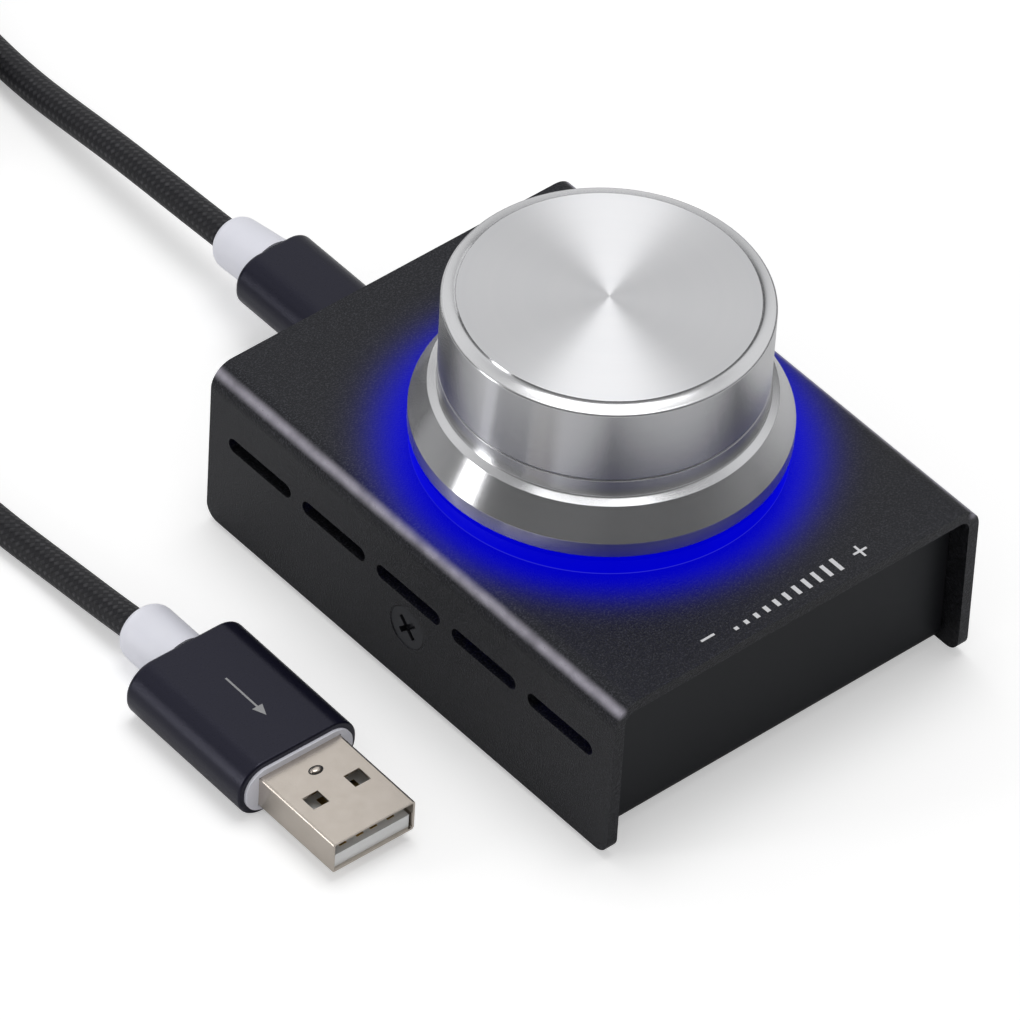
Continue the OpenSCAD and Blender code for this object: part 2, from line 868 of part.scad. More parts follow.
module control_neck() {
  color(bright_metal)
    translate([0, knob_y, control_top])
      difference() {
        union() {
          cylinder(d = control_w - 3.4, h = 0.7);
          cylinder(d = neck_d, h = neck_h);
        }
        for (i = [0 : 6])
          translate([0, 0, 1.6 + i * 0.75])
            difference() {
              cylinder(d = neck_d + 1, h = 0.3);
              translate([0, 0, -1])
                cylinder(d = neck_d - 0.4, h = 3);
            }
        translate([0, 0, -1])
          cylinder(r = shaft_r + shaft_gap, h = neck_h + 2);
      }
}

module control_pins() {
  color(gold)
    pin_blades();
}

module detent_spring() {
  color(bright_metal)
    translate([0, knob_y, 0]) {
      translate([0, 0, base_top - spring_t])
        difference() {
          cylinder(r = rotor_r - 0.1, h = spring_t);
          translate([0, 0, -1])
            cylinder(r = collar_r + 0.3, h = spring_t + 2);
        }
      for (a = [0, 180])
        rotate([0, 0, a])
          translate([4.2, 0, base_top - spring_t - 0.3])
            cylinder(r = bump_r, h = 0.3 + eps);
    }
}

module snap_dome() {
  dome_r = (pow(dome_d / 2, 2) + pow(dome_h, 2)) / (2 * dome_h);
  color(bright_metal)
    translate([0, knob_y, dome_z])
      intersection() {
        difference() {
          translate([0, 0, dome_h - dome_r])
            sphere(r = dome_r);
          translate([0, 0, dome_h - dome_r - 0.12])
            sphere(r = dome_r);
        }
        cylinder(d = dome_d, h = dome_h + 1);
      }
}

module control_rotor() {
  color([0.85, 0.83, 0.75])
    translate([0, knob_y, 0])
      difference() {
        union() {
          translate([0, 0, rotor_z])
            cylinder(r = rotor_r, h = rotor_t);
          translate([0, 0, rotor_z])
            cylinder(r = collar_r, h = collar_top - rotor_z);
        }
        translate([0, 0, rotor_z - 1])
          cylinder(r = tip_r + shaft_gap, h = rotor_top - rotor_z + 3);
        for (i = [0 : notch_count - 1])
          rotate([0, 0, (i + 0.5) * 360 / notch_count])
            translate([collar_r + 0.2, -notch_w / 2, rotor_top - notch_depth])
              cube([rotor_r - collar_r, notch_w, notch_depth + 1]);
      }
}

module rotor_wipers() {
  color(gold)
    translate([0, knob_y, rotor_z - wiper_t])
      difference() {
        cylinder(r = rotor_r - 0.3, h = wiper_t);
        translate([0, 0, -1])
          cylinder(r = tip_r + 0.8, h = wiper_t + 2);
        for (a = [60, 180, 300])
          rotate([0, 0, a])
            translate([3.2, -0.8, -1])
              cube([3, 1.6, wiper_t + 2]);
      }
}

// ---- Knob and shaft ------------------------------------------------------

// What the flat takes off a shaft of radius r, over height h
module shaft_flat(r, h) {
  translate([-r - 1, flat_t - shaft_r, 0])
    cube([2 * r + 2, 2 * r, h]);
}

module control_shaft() {
  color(bright_metal)
    translate([0, knob_y, 0]) {
      translate([0, 0, tip_z])
        cylinder(r = tip_r, h = shoulder_z - tip_z + eps);
      difference() {
        translate([0, 0, shoulder_z])
          cylinder(r = shaft_r, h = shaft_top - shoulder_z);
        translate([0, 0, shaft_top - flat_len])
          shaft_flat(shaft_r, flat_len + 1);
      }
    }
}

module knob_hub() {
  color(dark_plastic)
    translate([0, knob_y, 0])
      difference() {
        translate([0, 0, hub_z])
          cylinder(d = hub_d, h = hub_h);
        difference() {
          translate([0, 0, hub_z - 1])
            cylinder(r = shaft_r + 0.02, h = hub_bore_top - hub_z + 1);
          translate([0, 0.02, shaft_top - flat_len - 0.2])
            shaft_flat(shaft_r + 0.02, flat_len + 4);
        }
      }
}

// Half of the knob's outline, radius across and height up
function knob_outline() = concat(
  [
    [0, knob_h],
    [knob_face_d / 2 - edge_round, knob_h],
    [knob_face_d / 2, knob_h - edge_round / 2],
    [rim_r - edge_round, knob_h - bevel_h + edge_round / 2],
    [rim_r, knob_h - bevel_h - edge_round],
    [side_r, knob_h - bevel_h - 3 * edge_round],
    [side_r, groove_up + groove_w / 2],
    [side_r - groove_depth, groove_up + groove_w / 2],
    [side_r - groove_depth, groove_up - groove_w / 2],
    [side_r, groove_up - groove_w / 2]
  ],
  [
    for (i = [0 : 6])
      let (a = 180 + i * 15, r = shoulder_fillet, z = skirt_up + shoulder_rise + r)
        [side_r + r + r * cos(a), z + r * sin(a)]
  ],
  [
    [skirt_top_d / 2, skirt_up],
    [skirt_d / 2, band_h],
    [skirt_d / 2, edge_round],
    [skirt_d / 2 - edge_round, 0],
    [hollow_d / 2, 0],
    [hollow_d / 2, hollow_h],
    [hub_d / 2, hollow_h],
    [hub_d / 2, hub_z + hub_h - knob_z],
    [0, hub_z + hub_h - knob_z]
  ]
);

module knob() {
  color(bright_metal)
    translate([0, knob_y, knob_z])
      rotate_extrude($fn = 128)
        polygon(knob_outline());
}

// ---- Shapes that both plugs share ------------------------------------------

// Ring of corners round a sleeve at y, drawn in by "in"
function sleeve_ring(w, h, r, in, y) = [
  for (corner = [0 : 3], i = [0 : corner_steps])
    let (
      a = 90 * corner + 90 * i / corner_steps,
      sx = corner == 0 || corner == 3 ? 1 : -1,
      sz = corner < 2 ? 1 : -1
    )
      [sx * (w / 2 - r) + (r - in) * cos(a), y, sz * (h / 2 - r) + (r - in) * sin(a)]
];

// A tube with its edges rounded, a rear wall and a hole for the boot's neck.
// Its front is at y = 0.
module plug_sleeve(w, h, r, len) {
  difference() {
    loft(
      concat(
        [for (a = [0, 30, 60, 90]) sleeve_ring(w, h, r, front_round * (1 - sin(a)), front_round * (1 - cos(a)))],
        [for (a = [90, 60, 30, 0]) sleeve_ring(w, h, r, rear_round * (1 - sin(a)), len - rear_round * (1 - cos(a)))]
      ),
      4 * (corner_steps + 1)
    );
    along_y(-1, len - rear_wall)
      round_rect(w - 2 * sleeve_wall, h - 2 * sleeve_wall, r - sleeve_wall);
    bar_y(0, len + 1, boot_neck_r + boot_neck_gap);
  }
}

// The moulded core that fills a sleeve and stands out of its front
module plug_core(w, h, r, len) {
  along_y(-core_lip, len - rear_wall)
    round_rect(w - 2 * sleeve_wall, h - 2 * sleeve_wall, r - sleeve_wall);
}

// Half outline of a boot, radius across and length up, with a round end
function boot_outline(r0, r1, len) = concat(
  [[0, -1], [r0, -1], [r0, 0]],
  [
    for (i = [0 : 6])
      let (a = i * 15)
        [r1 - boot_round + boot_round * cos(a), len - boot_round + boot_round * sin(a)]
  ],
  [[0, len]]
);

// A boot behind a sleeve that ends at y = 0, with its neck in the sleeve
module plug_boot(r0, r1, len, droop) {
  bar_y(-rear_wall, eps, boot_neck_r);
  difference() {
    rotate([-90 - droop, 0, 0])
      rotate_extrude()
        polygon(boot_outline(r0, r1, len));
    translate([-2 * r0, -4, -2 * r0])
      cube([4 * r0, 4, 4 * r0]);
  }
}

// ---- Cord plug at the box ------------------------------------------------

module small_plug_tip() {
  color(bright_metal)
    translate([0, 0, port_z])
      difference() {
        along_y(tip_y0, small_front + 2)
          round_rect(tip_w, tip_h, 0.35);
        along_y(tip_y0 - 1, small_front + 3)
          round_rect(tip_w - 2 * tip_wall, tip_h - 2 * tip_wall, 0.2);
      }
}

module small_plug_insert() {
  color(dark_plastic)
    translate([0, 0, port_z])
      difference() {
        along_y(tip_y0 + 0.3, small_front + 1.8)
          square([tip_w - 2 * tip_wall - insert_gap, tip_h - 2 * tip_wall - insert_gap], center = true);
        along_y(tip_y0 - 1, tongue_end + 0.5)
          square([tongue_slot_w, tongue_slot_h], center = true);
      }
}

module small_plug_core() {
  color(white_plastic)
    translate([0, small_y0, port_z])
      difference() {
        plug_core(small_sleeve_w, small_sleeve_h, small_sleeve_r, small_sleeve_l);
        along_y(-core_lip - 1, 2 - core_lip)
          round_rect(tip_w, tip_h, 0.35);
      }
}

module small_plug_sleeve() {
  color(anodised)
    translate([0, small_y0, port_z])
      plug_sleeve(small_sleeve_w, small_sleeve_h, small_sleeve_r, small_sleeve_l);
}

module small_plug_boot() {
  color(white_plastic)
    translate([0, small_y1, port_z])
      plug_boot(small_boot_r, small_boot_end_r, small_boot_l, small_boot_droop);
}

// ---- Cord ----------------------------------------------------------------

function unit(v) = v / norm(v);

// Direction of a route at its point i
function route_way(p, i) = unit(p[min(i + 1, len(p) - 1)] - p[max(i - 1, 0)]);

// Ring of n corners round point i of a route, square to its direction
function route_ring(p, i, r, n) =
  let (
    way = route_way(p, i),
    side = unit(cross(way, [0, 0, 1])),
    up = cross(side, way)
  )
  [for (k = [0 : n - 1]) p[i] + r * cos(360 * k / n) * side + r * sin(360 * k / n) * up];

// A tube with n sides along a route
module route_tube(p, r, n) {
  loft([for (i = [0 : len(p) - 1]) route_ring(p, i, r, n)], n);
}

module cord_to_box() {
  color(braid_black)
    route_tube(box_cord_route, cord_r, 10);
}

module cord_to_computer() {
  color(braid_black)
    route_tube(computer_cord_route, cord_r, 10);
}

module cord_coil() {
  color(braid_black)
    translate([coil_x, coil_y, (coil_z0 + coil_z1) / 2])
      rotate_extrude($fn = 96)
        translate([(coil_in + coil_out) / 2, 0])
          round_rect(coil_out - coil_in, coil_z1 - coil_z0, cord_r * 0.9);
}

module coil_tie() {
  in_face = sqrt(pow(coil_in, 2) - pow(tie_w / 2, 2)) - 0.05;
  out_face = coil_out + 0.05;
  color(rubber_black)
    translate([coil_x, coil_y + (in_face + out_face) / 2, (coil_z0 + coil_z1) / 2])
      along_x(-tie_w / 2, tie_w / 2)
        difference() {
          round_rect(out_face - in_face + 2 * tie_t, coil_z1 - coil_z0 + 2 * tie_t, cord_r * 0.9 + tie_t);
          round_rect(out_face - in_face, coil_z1 - coil_z0, cord_r * 0.9);
        }
}

// ---- Computer plug -------------------------------------------------------

// Puts what follows where the computer plug lies
module at_large_plug() {
  translate(large_place)
    rotate([0, 0, large_turn])
      children();
}

module large_plug_boot() {
  color(white_plastic)
    at_large_plug()
      translate([0, large_sleeve_l, 0])
        plug_boot(large_boot_r, large_boot_end_r, large_boot_l, 0);
}

module large_plug_sleeve() {
  color(anodised)
    at_large_plug()
      plug_sleeve(large_sleeve_w, large_sleeve_h, large_sleeve_r, large_sleeve_l);
}

module large_plug_core() {
  color(white_plastic)
    at_large_plug()
      difference() {
        plug_core(large_sleeve_w, large_sleeve_h, large_sleeve_r, large_sleeve_l);
        along_y(-core_lip - 1, shell_back)
          square([shell_w, shell_h], center = true);
      }
}

module large_plug_shell() {
  color(nickel)
    at_large_plug()
      difference() {
        along_y(mouth_y, shell_back)
          round_rect(shell_w, shell_h, 0.4);
        along_y(mouth_y - 1, shell_back + 1)
          round_rect(shell_w - 2 * shell_wall, shell_h - 2 * shell_wall, 0.2);
        for (s = [-1, 1])
          translate([s * latch_pitch / 2, mouth_y + latch_back, 0])
            cube([latch_w, latch_l, shell_h + 2], center = true);
      }
}

module large_plug_tongue() {
  w = shell_w - 2 * shell_wall - 2 * tongue_gap;
  color(white_plastic)
    at_large_plug()
      translate([-w / 2, mouth_y + mouth_inset, -shell_h / 2 + shell_wall])
        cube([w, shell_l - mouth_inset - 0.5, mouth_tongue_t]);
}

module large_plug_contacts() {
  color(gold)
    at_large_plug()
      for (x = [-3.5, -1, 1, 3.5])
        translate([x - contact_w / 2, mouth_y + 1.2, -shell_h / 2 + shell_wall + mouth_tongue_t])
          cube([contact_w, strip_l, strip_t]);
}

// ---- Nodes ---------------------------------------------------------------

cover();
base_tray();
cover_screws();
foot(-1, -1);  // foot_front_left
foot(1, -1);  // foot_front_right
foot(-1, 1);  // foot_rear_left
foot(1, 1);  // foot_rear_right
light_ring();
main_board();
board_standoffs();
board_screws();
controller_chip();
timing_crystal();
chip_capacitors();
indicator_leds();
port_shell();
port_tongue();
port_contacts();
control_base();
control_frame();
control_neck();
control_pins();
detent_spring();
snap_dome();
control_rotor();
rotor_wipers();
control_shaft();
knob_hub();
knob();
small_plug_tip();
small_plug_insert();
small_plug_core();
small_plug_sleeve();
small_plug_boot();
cord_to_box();
cord_coil();
coil_tie();
cord_to_computer();
large_plug_boot();
large_plug_sleeve();
large_plug_core();
large_plug_shell();
large_plug_tongue();
large_plug_contacts();
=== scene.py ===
import bmesh
import bpy
import numpy as np
from mathutils import Matrix, Vector


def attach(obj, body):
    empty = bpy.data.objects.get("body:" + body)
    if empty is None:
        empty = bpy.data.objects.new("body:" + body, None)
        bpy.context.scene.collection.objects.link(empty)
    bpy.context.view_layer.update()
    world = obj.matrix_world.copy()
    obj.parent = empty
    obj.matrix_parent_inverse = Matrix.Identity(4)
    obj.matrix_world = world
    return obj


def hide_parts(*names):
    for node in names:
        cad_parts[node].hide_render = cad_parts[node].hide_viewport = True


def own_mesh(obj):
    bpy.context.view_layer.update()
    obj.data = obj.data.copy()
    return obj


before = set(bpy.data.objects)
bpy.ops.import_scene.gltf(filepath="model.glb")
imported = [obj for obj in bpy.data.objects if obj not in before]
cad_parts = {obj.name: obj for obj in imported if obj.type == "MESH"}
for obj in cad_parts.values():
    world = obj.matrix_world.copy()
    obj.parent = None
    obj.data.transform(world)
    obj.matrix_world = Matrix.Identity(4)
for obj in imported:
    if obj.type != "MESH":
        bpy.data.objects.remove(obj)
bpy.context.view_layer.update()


# ---- Table, lamps and camera ------------------------------------------------
# A white table under one wide soft lamp, with a narrow lamp low at the left
# and a dim one low behind. The camera looks down past the front left corner.

MM = 0.001


class Finish:
    """A material under construction: one Principled shader and the nodes that
    drive it. Places are in millimetres."""

    def __init__(self, name, **sockets):
        self.material = bpy.data.materials.new(name)
        self.material.use_nodes = True
        self.tree = self.material.node_tree
        self.shader = self.tree.nodes["Principled BSDF"]
        self.set(**sockets)

    def put(self, socket, value):
        """An input takes a plain value, another socket, or a node's first output."""
        if isinstance(value, bpy.types.Node):
            value = value.outputs[0]
        if isinstance(value, bpy.types.NodeSocket):
            self.tree.links.new(value, socket)
        else:
            socket.default_value = value

    def set(self, **sockets):
        """Inputs of the shader, by name."""
        for word, value in sockets.items():
            self.put(self.shader.inputs[word.replace("_", " ")], value)

    def add(self, kind, *places, **words):
        """One more node. Lower-case words are its own settings, the rest its inputs."""
        part = self.tree.nodes.new("ShaderNode" + kind)
        for word, value in words.items():
            if word[0].islower():
                setattr(part, word, value)
        for place, value in enumerate(places):
            self.put(part.inputs[place], value)
        for word, value in words.items():
            if not word[0].islower():
                self.put(part.inputs[word.replace("_", " ")], value)
        return part

    def sum(self, operation, *values):
        """One step of arithmetic."""
        return self.add("Math", *values, operation=operation)

    def distance(self, a, b):
        """The square root of a squared plus b squared."""
        squares = self.sum("ADD", self.sum("POWER", a, 2.0), self.sum("POWER", b, 2.0))
        return self.sum("SQRT", squares)

    def ramp(self, value, low, high, least=0.0, most=1.0):
        """The value's smooth way from low to high, as least to most."""
        return self.add("MapRange", value, low, high, least, most, interpolation_type="SMOOTHSTEP")

    def mix(self, share, first, second):
        """The first colour, or the second where the share is 1."""
        part = self.add("Mix", data_type="RGBA")
        for place, value in ((0, share), (6, first), (7, second)):
            self.put(part.inputs[place], value)
        return part.outputs[2]

    def place(self, centre=(0, 0, 0)):
        """A point's place on the object, from the centre."""
        spot = self.add("TexCoord").outputs["Object"]
        spot = self.add("VectorMath", spot, operation="SCALE", Scale=1000)
        return self.add("VectorMath", spot, centre, operation="SUBTRACT")

    def stretch(self, at, *times):
        """A place with its x, y and z taken this many times, so that noise there runs in streaks."""
        return self.add("VectorMath", at, times, operation="MULTIPLY")

    def parts(self, vector):
        """Its x, y and z."""
        return self.add("SeparateXYZ", vector).outputs

    def noise(self, at, scale, detail=2.0, roughness=0.5):
        """Clouds from 0 to 1, about one over the scale millimetres wide."""
        return self.add("TexNoise", Vector=at, Scale=scale, Detail=detail, Roughness=roughness)

    def bump(self, height, depth, strength=1.0):
        """Relief from a height of 0 to 1, this deep in millimetres."""
        relief = self.add("Bump", Height=height, Strength=strength, Distance=depth * MM)
        self.set(Normal=relief)
        return self


def tint(red, green, blue):
    return (red, green, blue, 1.0)


PICTURE = 1020
PIXELS_PER_UNIT = 11967.334
SENSOR = 36
LOOK_AT = np.array([0.01965, 0.03479, -0.02554])
CAMERA_FAR = 1.4462
turn, tilt, lean = np.radians([-42.847, 43.536, 3.487])
away = np.array([np.sin(turn) * np.cos(tilt), -np.cos(turn) * np.cos(tilt), np.sin(tilt)])
level = np.array([np.cos(turn), np.sin(turn), 0.0])
steep = np.cross(away, level)
side = np.cos(lean) * level + np.sin(lean) * steep
crown = np.cos(lean) * steep - np.sin(lean) * level
eye = LOOK_AT + CAMERA_FAR * away
camera = bpy.data.objects.new("camera", bpy.data.cameras.new("camera"))
bpy.context.scene.collection.objects.link(camera)
camera.data.lens = PIXELS_PER_UNIT / PICTURE * SENSOR
camera.data.sensor_width = SENSOR
camera.data.clip_start = 0.1
camera.data.clip_end = 50
camera.matrix_world = Matrix(
    [[side[i], crown[i], away[i], eye[i]] for i in range(3)] + [[0, 0, 0, 1]]
)
bpy.context.scene.camera = camera
bpy.context.scene.view_settings.view_transform = "Standard"

TABLE_WHITE = 0.9
TABLE_LIFT = 0.38
WHITE_IN_METAL = 0.84
TABLE_HALF = 0.32
table_mesh = bpy.data.meshes.new("table")
table_mesh.from_pydata(
    [(TABLE_HALF * x, TABLE_HALF * y, 0) for x, y in ((-1, -1), (1, -1), (1, 1), (-1, 1))],
    [], [(0, 1, 2, 3)],
)
table = bpy.data.objects.new("table", table_mesh)
bpy.context.scene.collection.objects.link(table)
paper = Finish("table_paper", Roughness=1.0, Specular_IOR_Level=0.0, Emission_Color=tint(1, 1, 1))
path = paper.add("LightPath").outputs
in_metal = paper.sum("MAXIMUM", path["Is Glossy Ray"], path["Is Transmission Ray"])
paper.set(Base_Color=paper.mix(in_metal, tint(*[TABLE_WHITE] * 3), tint(*[WHITE_IN_METAL] * 3)))
paper.set(Emission_Strength=paper.sum("MULTIPLY", path["Is Camera Ray"], TABLE_LIFT))
table_mesh.materials.append(paper.material)

SKY_FILL = 0.42
world = bpy.data.worlds.new("studio")
bpy.context.scene.world = world
world.use_nodes = True
sky = world.node_tree
sky.nodes.clear()


def sky_add(kind, *places, **words):
    """One more node of the surroundings, with its inputs in order and its own settings by name."""
    part = sky.nodes.new("ShaderNode" + kind)
    for word, value in words.items():
        setattr(part, word, value)
    for place, value in enumerate(places):
        if isinstance(value, bpy.types.Node):
            value = value.outputs[0]
        if isinstance(value, bpy.types.NodeSocket):
            sky.links.new(value, part.inputs[place])
        else:
            part.inputs[place].default_value = value
    return part


# What metal sees of the room: white above, darker at the very top, dim near
# the horizon but for a stretch straight behind, and dimmer on the camera's side.
STRAIGHT_BEHIND = (0.68, 0.733, 0.0)
looking = sky_add("TexCoord").outputs["Generated"]
height = sky_add("SeparateXYZ", looking).outputs[2]
behind = sky_add("VectorMath", looking, STRAIGHT_BEHIND, operation="DOT_PRODUCT").outputs["Value"]
rise = sky_add("MapRange", height, 0.26, 0.62, 0.06, 0.88, interpolation_type="SMOOTHSTEP")
ceiling = sky_add("MapRange", height, 0.74, 0.90, 1.0, 0.55, interpolation_type="SMOOTHSTEP")
back = sky_add("MapRange", behind, -0.6, 0.3, 0.32, 1.0, interpolation_type="SMOOTHSTEP")
above = sky_add("MapRange", height, 0.0, 0.10, 0.0, 0.75, interpolation_type="SMOOTHSTEP")
straight = sky_add("MapRange", behind, 0.86, 0.97, 0.0, 1.0, interpolation_type="SMOOTHSTEP")
stretch_behind = sky_add("Math", above, straight, operation="MULTIPLY")
rise = sky_add("Math", rise, stretch_behind, operation="MAXIMUM")
walls = sky_add("Math", rise, ceiling, operation="MULTIPLY")
room = sky_add("Math", walls, back, operation="MULTIPLY")
rays = sky_add("LightPath").outputs
in_metal = sky_add("Math", rays["Is Glossy Ray"], rays["Is Transmission Ray"], operation="MAXIMUM")
first = sky_add("MapRange", in_metal, 0.0, 1.0, SKY_FILL, 0.0, interpolation_type="LINEAR")
shown = sky_add("Math", in_metal, room, operation="MULTIPLY")
total = sky_add("Math", first, shown, operation="ADD")
glow = sky_add("Math", total, rays["Is Camera Ray"], operation="MAXIMUM")
backing = sky_add("Background", (1.0, 1.0, 1.0, 1.0), glow)
sky.links.new(backing.outputs[0], sky_add("OutputWorld").inputs[0])


def lamp(name, place, aim, width, height, radiance):
    """A flat soft lamp at a place, aimed at a point, this bright on its face."""
    light = bpy.data.lights.new(name, "AREA")
    light.shape = "RECTANGLE"
    light.size, light.size_y = width, height
    light.energy = radiance * np.pi * width * height
    holder = bpy.data.objects.new(name, light)
    bpy.context.scene.collection.objects.link(holder)
    place, aim = Vector(place), Vector(aim)
    turned_to_aim = (aim - place).to_track_quat("-Z", "Y").to_matrix().to_4x4()
    holder.matrix_world = Matrix.Translation(place) @ turned_to_aim


lamp("overhead_lamp", (0.13, 0.10, 1.30), (0, 0, 0), 0.75, 0.75, 3.3)
lamp("strip_lamp", (-1.13, 0.56, 0.26), (0, 0, 0.02), 0.25, 0.75, 5.6)
lamp("rear_lamp", (0.05, 1.25, 0.24), (0, 0, 0.04), 0.80, 0.42, 1.0)


# ---- Cord -------------------------------------------------------------------
# One braided nylon cord, 4 mm thick, from the plug at the box to the plug for
# the computer. The length that isn't used lies wound in two layers, tied once.

CORD_D = 4.0
box_route = np.array([
    [0, 65.7, 7.6], [0, 70, 7.4], [0.1, 76, 7], [0.3, 82, 6.5], [0.6, 89, 5.7],
    [1, 97, 4.5], [1.6, 105, 3.2], [2.4, 113, 2.4], [3.5, 121, 2], [4.8, 129, 2.2],
])
computer_route = np.array([
    [-53.5, 131, 6.4], [-53.4, 125, 5.9], [-53.2, 118, 4.9], [-52.8, 110, 3.6],
    [-52.1, 102, 2.6], [-51.3, 93, 2], [-50.5, 84, 2], [-49.8, 75, 2], [-49.4, 66, 2],
    [-49.1, 57, 2], [-48.9, 48, 2], [-48.5, 41, 2.1], [-48.4, 35, 2.6], [-48.4, 29, 3.2],
    [-48.3, 23.2, 3.8],
])
COIL = np.array([-24.0, 137.0])
COLUMNS = 4
COLUMN_IN = 17.5
LAYERS = (2.5, 6.5)
TURNS = 7.5
# Where in a turn the cord moves over, and for how long, in degrees.
LOW_MOVE = (255, 90)
HIGH_MOVE = (180, 75)


def coil_line():
    """Turns of the coil, by their angle: each keeps its column for most of a turn, then moves
    over by one diameter along a quarter circle in the section, inward in the lower layer and
    outward in the upper one. The last move of the lower layer goes up instead."""
    angle = np.radians(np.arange(0, TURNS * 360 + 1, 12.0))
    turns, part = np.divmod(np.degrees(angle) + 1e-6, 360)
    low = np.clip((part - LOW_MOVE[0]) / LOW_MOVE[1], 0, 1)
    high = np.clip((part - HIGH_MOVE[0]) / HIGH_MOVE[1], 0, 1)
    columns = COLUMN_IN + CORD_D * np.arange(COLUMNS)[::-1]
    at = np.clip(turns, 0, COLUMNS - 1).astype(int)
    following = np.clip(at + 1, 0, COLUMNS - 1)
    radius = columns[following] + (columns[at] - columns[following]) * np.cos(low * np.pi / 2)
    climbing = turns == COLUMNS - 1
    z = LAYERS[0] + np.where(climbing, CORD_D * np.sin(low * np.pi / 2), 0)
    upper = turns >= COLUMNS
    out = np.clip(turns - COLUMNS + high * high * (3 - 2 * high), 0, COLUMNS - 1)
    radius = np.where(upper, COLUMN_IN + CORD_D * out, radius)
    z = np.where(upper, LAYERS[1], z)
    return np.stack([COIL[0] + radius * np.cos(angle), COIL[1] + radius * np.sin(angle), z], 1)


def smooth_line(points, step):
    """A curve through the points: each stretch is a cubic whose slope at a point is half the way
    between that point's neighbours. It is taken at equal steps and averaged over five, twice."""
    before = np.vstack([2 * points[0] - points[1], points[:-1]])
    after = np.vstack([points[1:], 2 * points[-1] - points[-2]])
    slope = (after - before) / 2
    share = np.linspace(0, 1, 24, endpoint=False)[None, :, None]
    p0, p1, m0, m1 = (a[:, None] for a in (points[:-1], points[1:], slope[:-1], slope[1:]))
    fine = (
        p0 * (1 + 2 * share) * (1 - share) ** 2 + m0 * share * (1 - share) ** 2
        + p1 * share ** 2 * (3 - 2 * share) + m1 * share ** 2 * (share - 1)
    ).reshape(-1, 3)
    fine = np.vstack([fine, points[-1]])
    for _ in range(2):
        gone = np.r_[0, np.cumsum(np.linalg.norm(np.diff(fine, axis=0), axis=1))]
        even = np.linspace(0, gone[-1], int(round(gone[-1] / step)) + 1)
        fine = np.stack([np.interp(even, gone, fine[:, k]) for k in range(3)], 1)
        inner = np.stack([np.convolve(fine[:, k], np.ones(5) / 5, "valid") for k in range(3)], 1)
        fine[2:-2] = inner
    return fine


def surface(name, grid, body, finish, along=None, ends=True):
    """A closed skin over a grid of points: each row is a ring, and rows follow each other. A ring's
    UV runs from 0 to 1 round it and by `along` from row to row. Rings of one point become poles,
    and other ends are filled."""
    rows, columns = grid.shape[:2]
    i, j = np.meshgrid(np.arange(rows - 1), np.arange(columns), indexing="ij")
    k = (j + 1) % columns
    here, next_row = i * columns, (i + 1) * columns
    faces = np.stack([here + j, here + k, next_row + k, next_row + j], -1)
    around = np.stack([j, j + 1, j + 1, j], -1).reshape(-1) / columns
    along = np.arange(rows) if along is None else along
    onward = along[np.stack([i, i, i + 1, i + 1], -1)].reshape(-1)
    faces = faces.reshape(-1, 4).tolist()
    if ends:
        faces += [list(range(columns)), list(range((rows - 1) * columns, rows * columns))[::-1]]
        around = np.r_[around, np.zeros(2 * columns)]
        onward = np.r_[onward, np.full(columns, along[0]), np.full(columns, along[-1])]
    mesh = bpy.data.meshes.new(name)
    mesh.from_pydata((grid.reshape(-1, 3) * MM).tolist(), [], faces)
    mesh.uv_layers.new(name="place").data.foreach_set("uv", np.stack([around, onward], 1).ravel())
    tidy = bmesh.new()
    tidy.from_mesh(mesh)
    bmesh.ops.remove_doubles(tidy, verts=tidy.verts, dist=1e-7)
    bmesh.ops.recalc_face_normals(tidy, faces=tidy.faces)
    tidy.to_mesh(mesh)
    tidy.free()
    mesh.polygons.foreach_set("use_smooth", np.ones(len(mesh.polygons), bool))
    mesh.materials.append(finish.material)
    piece = bpy.data.objects.new(name, mesh)
    bpy.context.scene.collection.objects.link(piece)
    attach(piece, body)
    return piece


def tube(line, radius, sides=20):
    """Rings round a line that never stands upright: level sideways and square to the line."""
    ahead = np.gradient(line, axis=0)
    ahead /= np.linalg.norm(ahead, axis=1, keepdims=True)
    across = np.cross(ahead, [0, 0, 1])
    across /= np.linalg.norm(across, axis=1, keepdims=True)
    upward = np.cross(across, ahead)
    a = np.linspace(0, 2 * np.pi, sides, endpoint=False)[None, :, None]
    radius = np.broadcast_to(radius, len(line))[:, None, None]
    return line[:, None] + radius * (np.cos(a) * across[:, None] + np.sin(a) * upward[:, None])


STRANDS = 14
THREADS = 4
braid = Finish(
    "nylon_braid", Roughness=0.55, Specular_IOR_Level=0.35, Sheen_Weight=0.12, Sheen_Roughness=0.4
)
u, v, _ = braid.parts(braid.add("UVMap", uv_map="place"))
round_way = braid.sum("MULTIPLY", u, STRANDS)
long_way = braid.sum("MULTIPLY", v, STRANDS / (np.pi * CORD_D))
left = braid.sum("ADD", round_way, long_way)
right = braid.sum("SUBTRACT", round_way, long_way)
over = braid.sum("ADD", braid.sum("FLOOR", left), braid.sum("FLOOR", right))
over = braid.sum("FLOORED_MODULO", over, 2.0)
left_in, right_in = braid.sum("FRACT", left), braid.sum("FRACT", right)
left_round = braid.sum("SINE", braid.sum("MULTIPLY", left_in, np.pi))
right_round = braid.sum("SINE", braid.sum("MULTIPLY", right_in, np.pi))
top_round = braid.add("Mix", over, left_round, right_round)
long_round = braid.add("Mix", over, right_round, left_round)
raised = braid.sum("MULTIPLY", top_round, braid.sum("MULTIPLY_ADD", long_round, 0.5, 0.5))
thread = braid.add("Mix", over, left_in, right_in)
threads = braid.sum("SINE", braid.sum("MULTIPLY", thread, 2 * np.pi * THREADS))
threads = braid.sum("MULTIPLY_ADD", threads, 0.10, raised)
